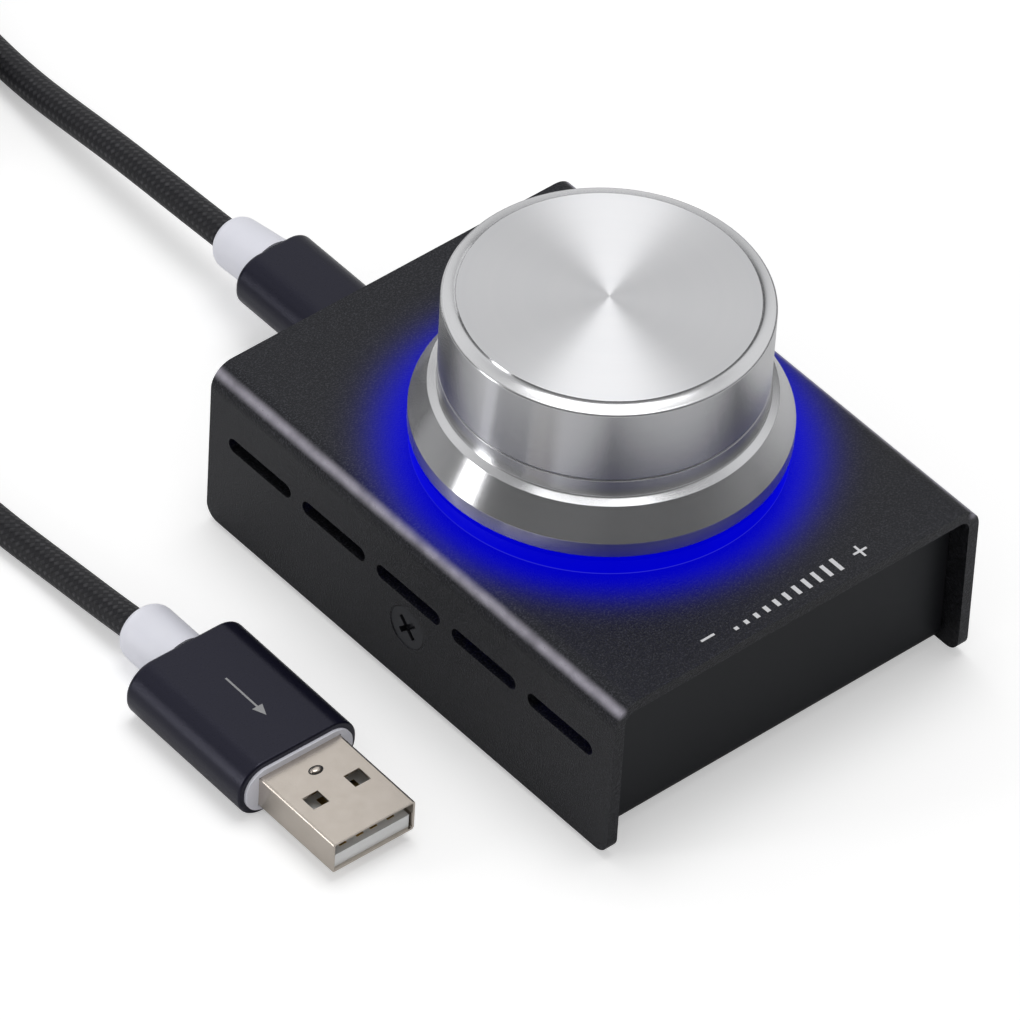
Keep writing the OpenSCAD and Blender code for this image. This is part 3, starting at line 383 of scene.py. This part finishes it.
patchy = braid.noise(braid.place(), 0.9, 3.0, 0.6)
patches = braid.ramp(patchy, 0.35, 0.7, 0.25, 1.0)
# Darker between the strands and lighter on their tops: painted shade in the gaps, times random
# patches of tone.
gap_shade_and_tone = braid.sum("MULTIPLY", braid.ramp(raised, 0.2, 1.0), patches)
braid.set(Base_Color=braid.mix(gap_shade_and_tone, tint(0.007, 0.007, 0.010), tint(0.050, 0.049, 0.056)))
braid.bump(threads, 0.16)

line = smooth_line(np.vstack([box_route, coil_line(), computer_route]), 1.0)
gone = np.r_[0, np.cumsum(np.linalg.norm(np.diff(line, axis=0), axis=1))]
cord = surface("cord", tube(line, CORD_D / 2), "cable", braid, gone)
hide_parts("cord_to_box", "cord_coil", "cord_to_computer")

TIE_W = 8.0
TIE_T = 0.45
WARP_THREADS = 34
WEFT_PER_MM = 2.2
weave = Finish(
    "tie_weave", Roughness=0.85, Specular_IOR_Level=0.25, Sheen_Weight=0.3, Sheen_Roughness=0.5
)
u, v, _ = weave.parts(weave.add("UVMap", uv_map="place"))
warp = weave.sum("SINE", weave.sum("MULTIPLY", u, 2 * np.pi * WARP_THREADS))
weft = weave.sum("SINE", weave.sum("MULTIPLY", v, 2 * np.pi * WEFT_PER_MM))
cloth = weave.sum("MULTIPLY", warp, weft)
fuzz = weave.noise(weave.place(), 4.0, 4.0, 0.7)
weave.set(Base_Color=weave.mix(fuzz, tint(0.006, 0.006, 0.007), tint(0.035, 0.035, 0.038)))
weave.bump(weave.sum("MULTIPLY_ADD", fuzz, 0.8, cloth), 0.08)


def tie_line():
    """The strap's middle line in the coil's section: a rectangle round the outer turns' centres
    with quarter circles at its corners, once round from the top and 6 mm over its own start."""
    bend = CORD_D / 2 + 0.05 + TIE_T / 2
    low, high = COLUMN_IN, COLUMN_IN + CORD_D * (COLUMNS - 1)
    bottom, top = LAYERS
    arcs = []
    for r, z, start in (high, top, 90), (high, bottom, 0), (low, bottom, -90), (low, top, -180):
        a = np.radians(start - np.linspace(0, 90, 9))
        arcs.append(np.stack([r + bend * np.cos(a), z + bend * np.sin(a)], 1))
    start = np.array([(low + high) / 2, top + bend])
    over = TIE_T + 0.03
    end = start + [[-4, 0.02], [-1.5, TIE_T * 0.7], [3, over], [6, over]]
    return np.vstack([start, *arcs, end])


loop = tie_line()
flat_line = np.stack([np.full(len(loop), COIL[0]), COIL[1] + loop[:, 0], loop[:, 1]], 1)
ahead = np.gradient(flat_line, axis=0)
ahead /= np.linalg.norm(ahead, axis=1, keepdims=True)
outward = np.cross(ahead, [1.0, 0, 0])
SELVEDGE = 0.0784
half, thick = 0.49 * TIE_W, TIE_T / 2
section = np.array([
    [-half, -thick], [0, -thick], [half, -thick], [half + SELVEDGE, 0],
    [half, thick], [0, thick], [-half, thick], [-half - SELVEDGE, 0],
])
across = section[None, :, :1] * np.array([1.0, 0, 0])
strap_grid = flat_line[:, None] + across + section[None, :, 1:] * outward[:, None]
strap_run = np.r_[0, np.cumsum(np.linalg.norm(np.diff(flat_line, axis=0), axis=1))]
strap = surface("cord_tie", strap_grid, "cable", weave, strap_run)
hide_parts("coil_tie")


# ---- Box --------------------------------------------------------------------
# A cover of folded steel sheet over a folded tray, both in fine black powder
# coat, held by one countersunk black screw in each side. Four rubber feet.

def mottled(name, dark, light, clouds, relief=None, **sockets):
    """A finish whose colour wanders between two tints. Clouds are the scale, detail and roughness
    of the noise, and relief the scale of a second noise and its depth in millimetres."""
    finish = Finish(name, **sockets)
    spot = finish.place()
    finish.set(Base_Color=finish.mix(finish.noise(spot, *clouds), tint(*dark), tint(*light)))
    if relief:
        scale, depth = relief
        finish.bump(finish.noise(spot, scale, 2.0), depth)
    return finish


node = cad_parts


def dress(finish, *names):
    """CAD nodes take one finish all over."""
    for name in names:
        node[name].data.materials.clear()
        node[name].data.materials.append(finish.material)


KNOB_Y = -0.9
GLOW_FROM = 22.2
GLOW_REACH = 4.0
FOLD_X, FOLD_Z = 26.87, 23.02
FOLD_HIGHLIGHT_REACH = 1.05
coat = Finish("powder_coat", Specular_IOR_Level=0.33, Specular_Tint=tint(0.86, 0.88, 1.0))
spot = coat.place()
grain = coat.noise(spot, 3.6, 2.0, 0.6)
speck = coat.noise(spot, 4.4, 3.0, 0.75)
rough = coat.sum("MULTIPLY_ADD", speck, 0.30, 0.26)
x, y, z = coat.parts(spot)
# A painted highlight along the two folds: the coat is made lighter and partly metallic there, and a
# little smoother.
across_fold = coat.sum("SUBTRACT", coat.sum("ABSOLUTE", x), FOLD_X)
off_fold = coat.distance(across_fold, coat.sum("SUBTRACT", z, FOLD_Z))
fold_band = coat.ramp(off_fold, FOLD_HIGHLIGHT_REACH, 0.0)
uneven = coat.ramp(coat.noise(spot, 0.35, 3.0), 0.25, 0.7, 0.6, 1.0)
fold_highlight = coat.sum("MULTIPLY", fold_band, uneven)
coat.set(Roughness=coat.sum("MULTIPLY_ADD", fold_highlight, -0.10, rough))
specks = coat.ramp(speck, 0.50, 0.62)
plain = coat.mix(specks, tint(0.0008, 0.0008, 0.0012), tint(0.0380, 0.0385, 0.0440))
coat_with_highlight = coat.mix(fold_highlight, plain, tint(0.42, 0.40, 0.46))
coat.bump(coat.sum("MULTIPLY_ADD", speck, 1.2, grain), 0.075)
# Painted glow: the coat next to the ring is given blue emission, a blue tint and some metal, fading
# away from the ring, in place of the ring's light falling on it.
from_knob = coat.distance(x, coat.sum("SUBTRACT", y, KNOB_Y))
out_of_ring = coat.sum("MAXIMUM", coat.sum("SUBTRACT", from_knob, GLOW_FROM), 0.0)
share = coat.sum("POWER", coat.sum("DIVIDE", out_of_ring, GLOW_REACH), 2.0)
fading = coat.sum("EXPONENT", coat.sum("MULTIPLY", share, -1.0))
on_top = coat.ramp(z, 22.6, 23.7)
lit = coat.sum("MULTIPLY", fading, on_top)
# Metal along the folds is part of the painted highlight, and near the ring it is part of the painted
# glow.
highlight_metal, blue = coat.sum("MULTIPLY", fold_highlight, 0.6), coat.sum("MULTIPLY", lit, 0.7)
coat.set(Metallic=coat.sum("MAXIMUM", highlight_metal, blue))
coat.set(Base_Color=coat.mix(lit, coat_with_highlight, tint(0.001, 0.001, 0.06)))
coat.set(Emission_Color=tint(0.0, 0.0, 1.0), Emission_Strength=coat.sum("MULTIPLY", lit, 0.50))
dress(coat, "cover")

tray_coat = Finish("tray_coat", Specular_IOR_Level=0.27, Specular_Tint=tint(0.84, 0.91, 1.0))
spot = tray_coat.place()
grain = tray_coat.noise(spot, 3.2, 2.0, 0.6)
dark, light = tint(0.0050, 0.0050, 0.0062), tint(0.0110, 0.0110, 0.0130)
tray_coat.set(Base_Color=tray_coat.mix(grain, dark, light))
tray_coat.set(Roughness=tray_coat.sum("MULTIPLY_ADD", grain, 0.12, 0.40))
tray_coat.bump(grain, 0.012)
dress(tray_coat, "base_tray")

black_steel = mottled(
    "black_oxide", (0.006, 0.006, 0.008), (0.022, 0.022, 0.025), (2.5, 3.0, 0.6), (6.0, 0.02),
    Specular_IOR_Level=0.34, Specular_Tint=tint(0.80, 0.86, 1.0), Roughness=0.36,
)
dress(black_steel, "cover_screws")

rubber = mottled(
    "foot_rubber", (0.010, 0.010, 0.010), (0.032, 0.031, 0.030), (1.5, 4.0, 0.7), (6.0, 0.02),
    Roughness=0.8, Specular_IOR_Level=0.3,
)
dress(rubber, "foot_front_left", "foot_front_right", "foot_rear_left", "foot_rear_right")


# ---- Print on the cover -----------------------------------------------------
# White screen print near the front edge: a minus, bars that grow, and a plus,
# a fortieth of a millimetre thick on the coat.

PRINT_Y = -33.2
PRINT_TOP = 23.93
PRINT_T = 0.025
ink = mottled(
    "white_ink", (0.70, 0.70, 0.72), (0.84, 0.84, 0.86), (5.0, 2.0, 0.5),
    Roughness=0.55, Specular_IOR_Level=0.3,
)


def stamped(name, outlines, low, high, body, finish, lay=np.asarray):
    """Flat plates between two heights, from outlines in the top view that run counterclockwise:
    each has a lower face, an upper face and one wall a side. `lay` moves all the points."""
    points, faces, start = [], [], 0
    for shape in outlines:
        count = len(shape)
        points += [np.c_[shape, np.full(count, z)] for z in (low, high)]
        bottom = start + np.arange(count)
        after = np.roll(bottom, -1)
        faces += [bottom[::-1].tolist(), (bottom + count).tolist()]
        faces += np.stack([bottom, after, after + count, bottom + count], 1).tolist()
        start += 2 * count
    mesh = bpy.data.meshes.new(name)
    mesh.from_pydata((lay(np.vstack(points)) * MM).tolist(), [], faces)
    mesh.materials.append(finish.material)
    piece = bpy.data.objects.new(name, mesh)
    bpy.context.scene.collection.objects.link(piece)
    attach(piece, body)
    return piece


# Each mark's middle, width and depth. The plus is one bar with a stub on each side.
SIGN_X, SIGN, STROKE = 11.6, 2.0, 0.32
STUB = 0.84
BARS, BAR_STEP, BAR_W = 11, 1.6, 0.55
bars = np.arange(BARS)
bar_depth = 0.5 + 0.17 * bars
bar_x = BAR_STEP * (bars - (BARS - 1) / 2)
stub_y = (STROKE + STUB) / 2
marks = np.vstack([
    [-SIGN_X, PRINT_Y, SIGN, STROKE], [SIGN_X, PRINT_Y, SIGN, STROKE],
    [SIGN_X, PRINT_Y + stub_y, STROKE, STUB], [SIGN_X, PRINT_Y - stub_y, STROKE, STUB],
    np.stack([bar_x, PRINT_Y - 1.1 + bar_depth / 2, np.full(BARS, BAR_W), bar_depth], 1),
])
corners = np.array([[-1, -1], [1, -1], [1, 1], [-1, 1]]) / 2
outlines = marks[:, None, :2] + corners * marks[:, None, 2:]
stamped("volume_print", outlines, PRINT_TOP - PRINT_T, PRINT_TOP, "housing", ink)


# ---- Light ring -------------------------------------------------------------
# Clear moulded plastic under the knob, lit from below through four legs, so
# that its edge glows blue.

# A thin line of the ring's edge, just over the cover, glows a little lighter.
LINE_Z = 23.97
ring_light = Finish("blue_ring", Base_Color=tint(0.0, 0.0, 0.12), Roughness=0.35)
spot = ring_light.place((0, KNOB_Y, LINE_Z))
off_line = ring_light.sum("ABSOLUTE", ring_light.parts(spot)[2])
rim_line = ring_light.ramp(off_line, 0.10, 0.02)
ring_light.set(
    Emission_Color=ring_light.mix(rim_line, tint(0.0, 0.0, 1.0), tint(0.05, 0.05, 1.0)),
    Emission_Strength=ring_light.sum("MULTIPLY_ADD", ring_light.noise(spot, 0.15, 2.0), 0.08, 0.48),
)
ring_light.bump(ring_light.noise(spot, 1.2, 2.0), 0.01)
dress(ring_light, "light_ring")


# ---- Knob -------------------------------------------------------------------
# Turned from an aluminium bar: a spun face, a bright bevel, a fine groove and
# a flared skirt, with a hollow under it. It is pressed on a plastic hub.

KNOB_Z = 26.75
TURNING_MARKS = 5.5
aluminium = Finish("turned_aluminium", Metallic=1.0, Anisotropic=0.9)
spot = aluminium.place((0, KNOB_Y, 0))
level_spot = aluminium.stretch(spot, 1.0, 1.0, 0.0)
radius = aluminium.add("VectorMath", level_spot, operation="LENGTH").outputs["Value"]
round_way = aluminium.add("VectorMath", (0.0, 0.0, 1.0), level_spot, operation="CROSS_PRODUCT")
normal = aluminium.add("NewGeometry").outputs["Normal"]
groove_side = aluminium.add("VectorMath", round_way, normal, operation="CROSS_PRODUCT")
aluminium.set(Tangent=aluminium.add("VectorMath", groove_side, operation="NORMALIZE"))
profile_way = aluminium.add("CombineXYZ", radius, 0.0, aluminium.parts(spot)[2])
turning = aluminium.noise(profile_way, TURNING_MARKS, 4.0, 0.75)
wide_marks = aluminium.noise(profile_way, 0.5, 2.0, 0.5)
facing_up = aluminium.ramp(aluminium.parts(normal)[2], 0.992, 0.999, 0.225, 0.34)
aluminium.set(Roughness=aluminium.sum("MULTIPLY_ADD", turning, 0.06, facing_up))
dark, light = tint(0.69, 0.695, 0.715), tint(0.74, 0.74, 0.75)
aluminium.set(Base_Color=aluminium.mix(wide_marks, dark, light))
on_side = aluminium.ramp(aluminium.parts(normal)[2], 0.99, 0.9, 0.12, 1.0)
aluminium.bump(turning, 0.006, strength=on_side)


def outline(corners, run=0.05, steps=4):
    """A turned piece's half outline from corners of radius, height and fillet: each fillet is an
    arc between its tangent points, and each straight run keeps a point near both ends, so that
    shading stays flat between them."""
    p = np.array([c[:2] for c in corners], float)
    made = [p[0]]
    for k in range(1, len(p) - 1):
        size = corners[k][2]
        back, on = p[k - 1] - p[k], p[k + 1] - p[k]
        back, on = back / np.linalg.norm(back), on / np.linalg.norm(on)
        half = np.arccos(np.clip(back @ on, -1, 1)) / 2
        if size == 0 or half > 1.5:
            made.append(p[k])
            continue
        reach = size / np.tan(half)
        middle = p[k] + (back + on) / np.linalg.norm(back + on) * size / np.sin(half)
        start, stop = p[k] + back * reach - middle, p[k] + on * reach - middle
        a0 = np.arctan2(start[1], start[0])
        sweep = (np.arctan2(stop[1], stop[0]) - a0 + np.pi) % (2 * np.pi) - np.pi
        a = a0 + sweep * np.linspace(0, 1, steps + 1)
        made.append(p[k] + back * (reach + run))
        made += list(middle + size * np.stack([np.cos(a), np.sin(a)], 1))
        made.append(p[k] + on * (reach + run))
    made.append(p[-1])
    return np.array(made)


def turned(profile, centre, sides=240):
    """A half outline spun round the upright axis."""
    a = np.linspace(0, 2 * np.pi, sides, endpoint=False)[None]
    r, h = profile[:, :1], profile[:, 1:]
    return np.stack([centre[0] + r * np.cos(a), centre[1] + r * np.sin(a), centre[2] + h + 0 * a], -1)


# The bevel is a shallow cove, steep at the face and almost level at the rim.
t = np.linspace(0, 1, 14)[:, None]
cove = (1 - t) ** 2 * [17.67, 19.74] + 2 * t * (1 - t) * [17.86, 19.44] + t ** 2 * [18.98, 19.31]
cove = [(r, h, 0) for r, h in cove]
# Radius, height above the knob's foot and fillet of each corner, from the
# middle of the face to the middle of the hollow.
knob_corners = [
    (0, 19.9, 0), (17.56, 19.9, 0.05), *cove, (19.35, 19.27, 0.30),
    (19.3, 9.25, 0.05), (19.0, 9.22, 0.03), (19.0, 8.98, 0.03), (19.3, 8.95, 0.05),
    (19.3, 6.50, 0.28), (20.35, 6.02, 0.09), (22.45, 2.10, 0.10), (22.45, 0.0, 0.12),
    (17.0, 0.0, 0.15), (17.0, 3.0, 0.15), (6.0, 3.0, 0.1), (6.0, 13.05, 0.1), (0, 13.05, 0),
]
knob = surface(
    "knob_body", turned(outline(knob_corners), (0, KNOB_Y, KNOB_Z)),
    "knob_and_shaft", aluminium, ends=False,
)
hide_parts("knob")

shaft_metal = Finish("shaft_aluminium", Metallic=1.0, Roughness=0.3)
spot = shaft_metal.place()
rings = shaft_metal.noise(shaft_metal.stretch(spot, 0.1, 0.1, 6.0), 1.0, 3.0)
dark, light = tint(0.62, 0.62, 0.63), tint(0.80, 0.80, 0.81)
shaft_metal.set(Base_Color=shaft_metal.mix(rings, dark, light))
shaft_metal.bump(rings, 0.008)
dress(shaft_metal, "control_shaft")

black_plastic = mottled(
    "black_moulding", (0.012, 0.012, 0.013), (0.028, 0.028, 0.030), (1.2, 3.0, 0.5), (8.0, 0.01),
    Roughness=0.5, Specular_IOR_Level=0.4,
)
dress(black_plastic, "knob_hub", "control_base", "port_tongue", "small_plug_insert")


# ---- Rotary control ---------------------------------------------------------
# A sensor that counts clicks: a moulded base with a cream disc, gold wipers
# and pins, closed by a bright plated frame whose neck guides the shaft.

plate = Finish("bright_plate", Metallic=1.0)
spot = plate.place()
cloudy = plate.noise(spot, 0.9, 3.0, 0.6)
plate.set(Base_Color=plate.mix(cloudy, tint(0.56, 0.57, 0.58), tint(0.72, 0.72, 0.72)))
plate.set(Roughness=plate.sum("MULTIPLY_ADD", cloudy, 0.16, 0.20))
plate.bump(plate.noise(plate.stretch(spot, 1.0, 8.0, 1.0), 1.5, 2.0), 0.005)
dress(
    plate, "control_frame", "control_neck", "detent_spring", "port_shell",
    "board_screws", "timing_crystal",
)

# The dome under the shaft's tip flattens when the knob is pressed.
DOME_Z = 8.2
DOME_D, DOME_H, DOME_T = 6.0, 0.8, 0.12
dome_r = ((DOME_D / 2) ** 2 + DOME_H ** 2) / (2 * DOME_H)
outer = np.linspace(0, np.arcsin(DOME_D / 2 / dome_r), 16)
inner = np.linspace(np.arccos(1 - (DOME_H - DOME_T) / dome_r), 0, 16)
dome_profile = np.vstack([
    np.stack([dome_r * np.sin(outer), DOME_H - dome_r + dome_r * np.cos(outer)], 1),
    np.stack([dome_r * np.sin(inner), DOME_H - DOME_T - dome_r + dome_r * np.cos(inner)], 1),
])
dome = surface(
    "press_dome", turned(dome_profile, (0, KNOB_Y, DOME_Z), 64),
    "housing", plate, ends=False,
)
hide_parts("snap_dome")
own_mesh(dome)

gold = mottled(
    "gold_plate", (0.72, 0.50, 0.17), (0.90, 0.68, 0.30), (2.0, 3.0, 0.5), (6.0, 0.004),
    Metallic=1.0, Roughness=0.25,
)
dress(gold, "control_pins", "rotor_wipers", "port_contacts", "large_plug_contacts")

cream = mottled(
    "cream_moulding", (0.66, 0.62, 0.50), (0.80, 0.77, 0.66), (0.7, 3.0, 0.5), (7.0, 0.008),
    Roughness=0.45,
)
dress(cream, "control_rotor")


# ---- Circuit board ----------------------------------------------------------
# A green glass fibre board on four brass standoffs, with its chip, crystal,
# capacitors and the four lights that shine into the ring's legs.

mask = Finish("solder_mask", Roughness=0.35, Coat_Weight=0.3, Coat_Roughness=0.15)
spot = mask.place()
x, y, z = mask.parts(spot)
tracks = mask.add(
    "TexBrick", Vector=spot, Scale=0.42, Mortar_Size=0.03, Mortar_Smooth=0.1, Bias=0.0,
    Brick_Width=0.9, Row_Height=0.28,
)
worn = mask.noise(spot, 0.25, 3.0)
copper = mask.sum("MULTIPLY", tracks.outputs["Fac"], mask.ramp(worn, 0.45, 0.55))
face = mask.mix(copper, tint(0.010, 0.12, 0.055), tint(0.04, 0.26, 0.11))
BOARD_Y, HALF_WIDTH, HALF_DEPTH = 2.0, 23.0, 29.0
side_rim = mask.ramp(mask.sum("ABSOLUTE", x), HALF_WIDTH - 0.07, HALF_WIDTH - 0.02)
off_middle = mask.sum("ABSOLUTE", mask.sum("SUBTRACT", y, BOARD_Y))
rim = mask.sum("MAXIMUM", side_rim, mask.ramp(off_middle, HALF_DEPTH - 0.07, HALF_DEPTH - 0.02))
mask.set(Base_Color=mask.mix(rim, face, tint(0.45, 0.38, 0.18)))
mask.bump(copper, 0.03)
dress(mask, "main_board")

brass = Finish("turned_brass", Metallic=1.0, Roughness=0.3)
spot = brass.place()
dark, light = tint(0.58, 0.42, 0.17), tint(0.78, 0.60, 0.28)
brass.set(Base_Color=brass.mix(brass.noise(spot, 1.5, 3.0), dark, light))
brass.bump(brass.noise(brass.stretch(spot, 0.2, 0.2, 5.0), 1.0, 2.0), 0.01)
dress(brass, "board_standoffs")

CHIP_Y, CHIP_HALF = 17.5, 3.51
chip = Finish("chip_package", Roughness=0.5)
spot = chip.place((0, CHIP_Y, 0))
x, y, z = chip.parts(spot)
off_middle = chip.sum("MAXIMUM", chip.sum("ABSOLUTE", x), chip.sum("ABSOLUTE", y))
outside = chip.sum("GREATER_THAN", off_middle, CHIP_HALF)
epoxy = chip.mix(chip.noise(spot, 5.0, 2.0), tint(0.012, 0.012, 0.013), tint(0.030, 0.030, 0.032))
chip.set(Base_Color=chip.mix(outside, epoxy, tint(0.62, 0.62, 0.60)), Metallic=outside)
chip.bump(chip.noise(spot, 12.0, 2.0), 0.01)
dress(chip, "controller_chip")

ceramic = mottled(
    "tan_ceramic", (0.34, 0.23, 0.13), (0.50, 0.37, 0.23), (3.0, 3.0, 0.5), (10.0, 0.01),
    Roughness=0.55,
)
dress(ceramic, "chip_capacitors")

led = mottled(
    "led_moulding", (0.76, 0.76, 0.72), (0.86, 0.86, 0.84), (1.0, 2.0, 0.5), (6.0, 0.006),
    Roughness=0.3, Emission_Color=tint(0.02, 0.05, 1.0), Emission_Strength=0.6,
)
dress(led, "indicator_leds")


# ---- Plugs ------------------------------------------------------------------
# Each plug is a moulded white core in a dark anodised aluminium sleeve with a
# soft white boot. The computer plug's shell is folded nickel-plated steel.

anodised = Finish("dark_anodised", Specular_IOR_Level=0.36, Specular_Tint=tint(0.80, 0.80, 1.0))
spot = anodised.place()
fine = anodised.noise(spot, 4.5, 3.0, 0.7)
anodised.set(Base_Color=anodised.mix(fine, tint(0.003, 0.003, 0.009), tint(0.009, 0.009, 0.020)))
anodised.set(Roughness=anodised.sum("MULTIPLY_ADD", fine, 0.10, 0.24))
anodised.bump(fine, 0.012)

SLEEVE_WALL = 0.8


def sleeve_grid(width, height, radius, length):
    """Rings of an oblong with round corners, from a seat inside the mouth, forward and out over
    the front edge, back along the sleeve, and in over the rear edge. An edge's ring is drawn in
    by one minus the sine of its angle, and lies along by one minus the cosine, both times its
    radius."""
    q = np.radians(np.linspace(0, 90, 25))
    corners = np.array([[1, 1], [-1, 1], [-1, -1], [1, -1]])
    centre = np.repeat(corners * [width / 2 - radius, height / 2 - radius], 25, 0)
    a = (np.arange(4)[:, None] * np.pi / 2 + q).ravel()
    front, rear = 0.25, 0.6
    e = np.radians(np.linspace(0, 90, 7))
    drawn_in = np.r_[
        SLEEVE_WALL, SLEEVE_WALL, SLEEVE_WALL, SLEEVE_WALL - 0.06, front + 0.06,
        front * (1 - np.sin(e)), 0, 0, rear * (1 - np.sin(e[::-1])), rear + 0.08, 1.4,
    ]
    along = np.r_[
        2.0, 0.06, 0, 0, 0, front * (1 - np.cos(e)), front + 0.1,
        length - rear - 0.1, length - rear * (1 - np.cos(e[::-1])), length, length,
    ]
    r = radius - drawn_in[:, None]
    x = centre[:, 0] + r * np.cos(a)
    z = centre[:, 1] + r * np.sin(a)
    return np.stack([x, along[:, None] + 0 * x, z], -1)


PLUG = np.array([-48.5, -5.6, 3.9])
PLUG_TURN = np.radians(-1.0)


def on_plug(points):
    """From the computer plug's own frame, with its sleeve's front at y = 0, to the object's:
    turned by PLUG_TURN about the upright axis and moved to PLUG."""
    c, s = np.cos(PLUG_TURN), np.sin(PLUG_TURN)
    return np.asarray(points, float) @ np.array([[c, s, 0], [-s, c, 0], [0, 0, 1]]) + PLUG


SMALL_PLUG = np.array([0, 34.1, 8.55])
small_grid = sleeve_grid(width=11.6, height=7.4, radius=3.4, length=23.7) + SMALL_PLUG
small_sleeve = surface("small_sleeve", small_grid, "cable", anodised)
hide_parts("small_plug_sleeve")
large_grid = on_plug(sleeve_grid(width=17.2, height=7.8, radius=3.7, length=21.1))
large_sleeve = surface("large_sleeve", large_grid, "cable", anodised)
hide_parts("large_plug_sleeve")

white_plastic = mottled(
    "white_moulding", (0.86, 0.865, 0.95), (0.90, 0.905, 0.98), (0.4, 3.0, 0.5), (5.0, 0.006),
    Roughness=0.35, Specular_IOR_Level=0.5,
)
dress(white_plastic, "small_plug_boot", "large_plug_boot", "small_plug_core", "large_plug_core")

tongue = mottled(
    "tongue_moulding", (0.90, 0.91, 0.91), (0.96, 0.96, 0.95), (0.8, 3.0, 0.5), (6.0, 0.004),
    Roughness=0.25, Specular_IOR_Level=0.6,
)
dress(tongue, "large_plug_tongue")

nickel = Finish("nickel_plate", Metallic=1.0)
spot = nickel.place(tuple(PLUG))
drawn = nickel.noise(nickel.stretch(spot, 7.0, 0.5, 7.0), 1.0, 3.0, 0.6)
clouds = nickel.noise(spot, 0.5, 3.0)
nickel.set(Base_Color=nickel.mix(clouds, tint(0.56, 0.505, 0.445), tint(0.66, 0.60, 0.54)))
nickel.set(Roughness=nickel.sum("MULTIPLY_ADD", drawn, 0.06, 0.22))
nickel.bump(drawn, 0.0012)
dress(nickel, "large_plug_shell", "small_plug_tip")

# A spring lug is pressed up out of the shell's top, in a cut round its rear half.
SHELL_TOP = 2.25
LUG_Y, LUG_HALF_W, LUG_HALF_L = -3.3, 0.78, 0.48
a = np.linspace(0, 2 * np.pi, 32, endpoint=False)
lift = np.array([-0.10, 0.0, 0.10, 0.19, 0.26, 0.30, 0.31])[:, None]
spread = np.array([1.0, 1.0, 0.97, 0.88, 0.70, 0.42, 0.14])[:, None]
lug = np.stack([
    LUG_HALF_W * spread * np.cos(a), LUG_Y + LUG_HALF_L * spread * np.sin(a),
    SHELL_TOP + lift + 0 * a,
], -1)
lug = on_plug(lug.reshape(-1, 3)).reshape(lug.shape)
shell_lug = surface("shell_lug", lug, "cable", nickel)
# The cut round the lug is drawn as a black band: painted shade in the cut.
cut_shade_ring = np.stack([
    np.outer([0.8, 0.98, 0.98, 0.8], np.cos(a)),
    LUG_Y + 0.06 + np.outer([0.5, 0.68, 0.68, 0.5], np.sin(a)),
    np.outer(SHELL_TOP + np.array([0.012, 0.012, -0.05, -0.05]), np.ones(32)),
], -1)
cut_shade_ring = np.concatenate([cut_shade_ring, cut_shade_ring[:1]])
cut_shade_ring = on_plug(cut_shade_ring.reshape(-1, 3)).reshape(cut_shade_ring.shape)
lug_cut_shade = surface("lug_cut_shade", cut_shade_ring, "cable", black_plastic, ends=False)

# A plain arrow, laser marked on the sleeve, points to the shell.
SLEEVE_TOP = 3.9
grey_mark = mottled(
    "laser_mark", (0.28, 0.28, 0.29), (0.40, 0.40, 0.41), (6.0, 2.0, 0.5), Roughness=0.6
)
arrow = np.array([
    [-0.13, 13.4], [-0.13, 7.6], [-0.75, 7.6], [0, 5.9], [0.75, 7.6], [0.13, 7.6], [0.13, 13.4],
])
arrow_mark = stamped(
    "plug_arrow", [arrow], SLEEVE_TOP - 0.02, SLEEVE_TOP + 0.015,
    "cable", grey_mark, lay=on_plug,
)
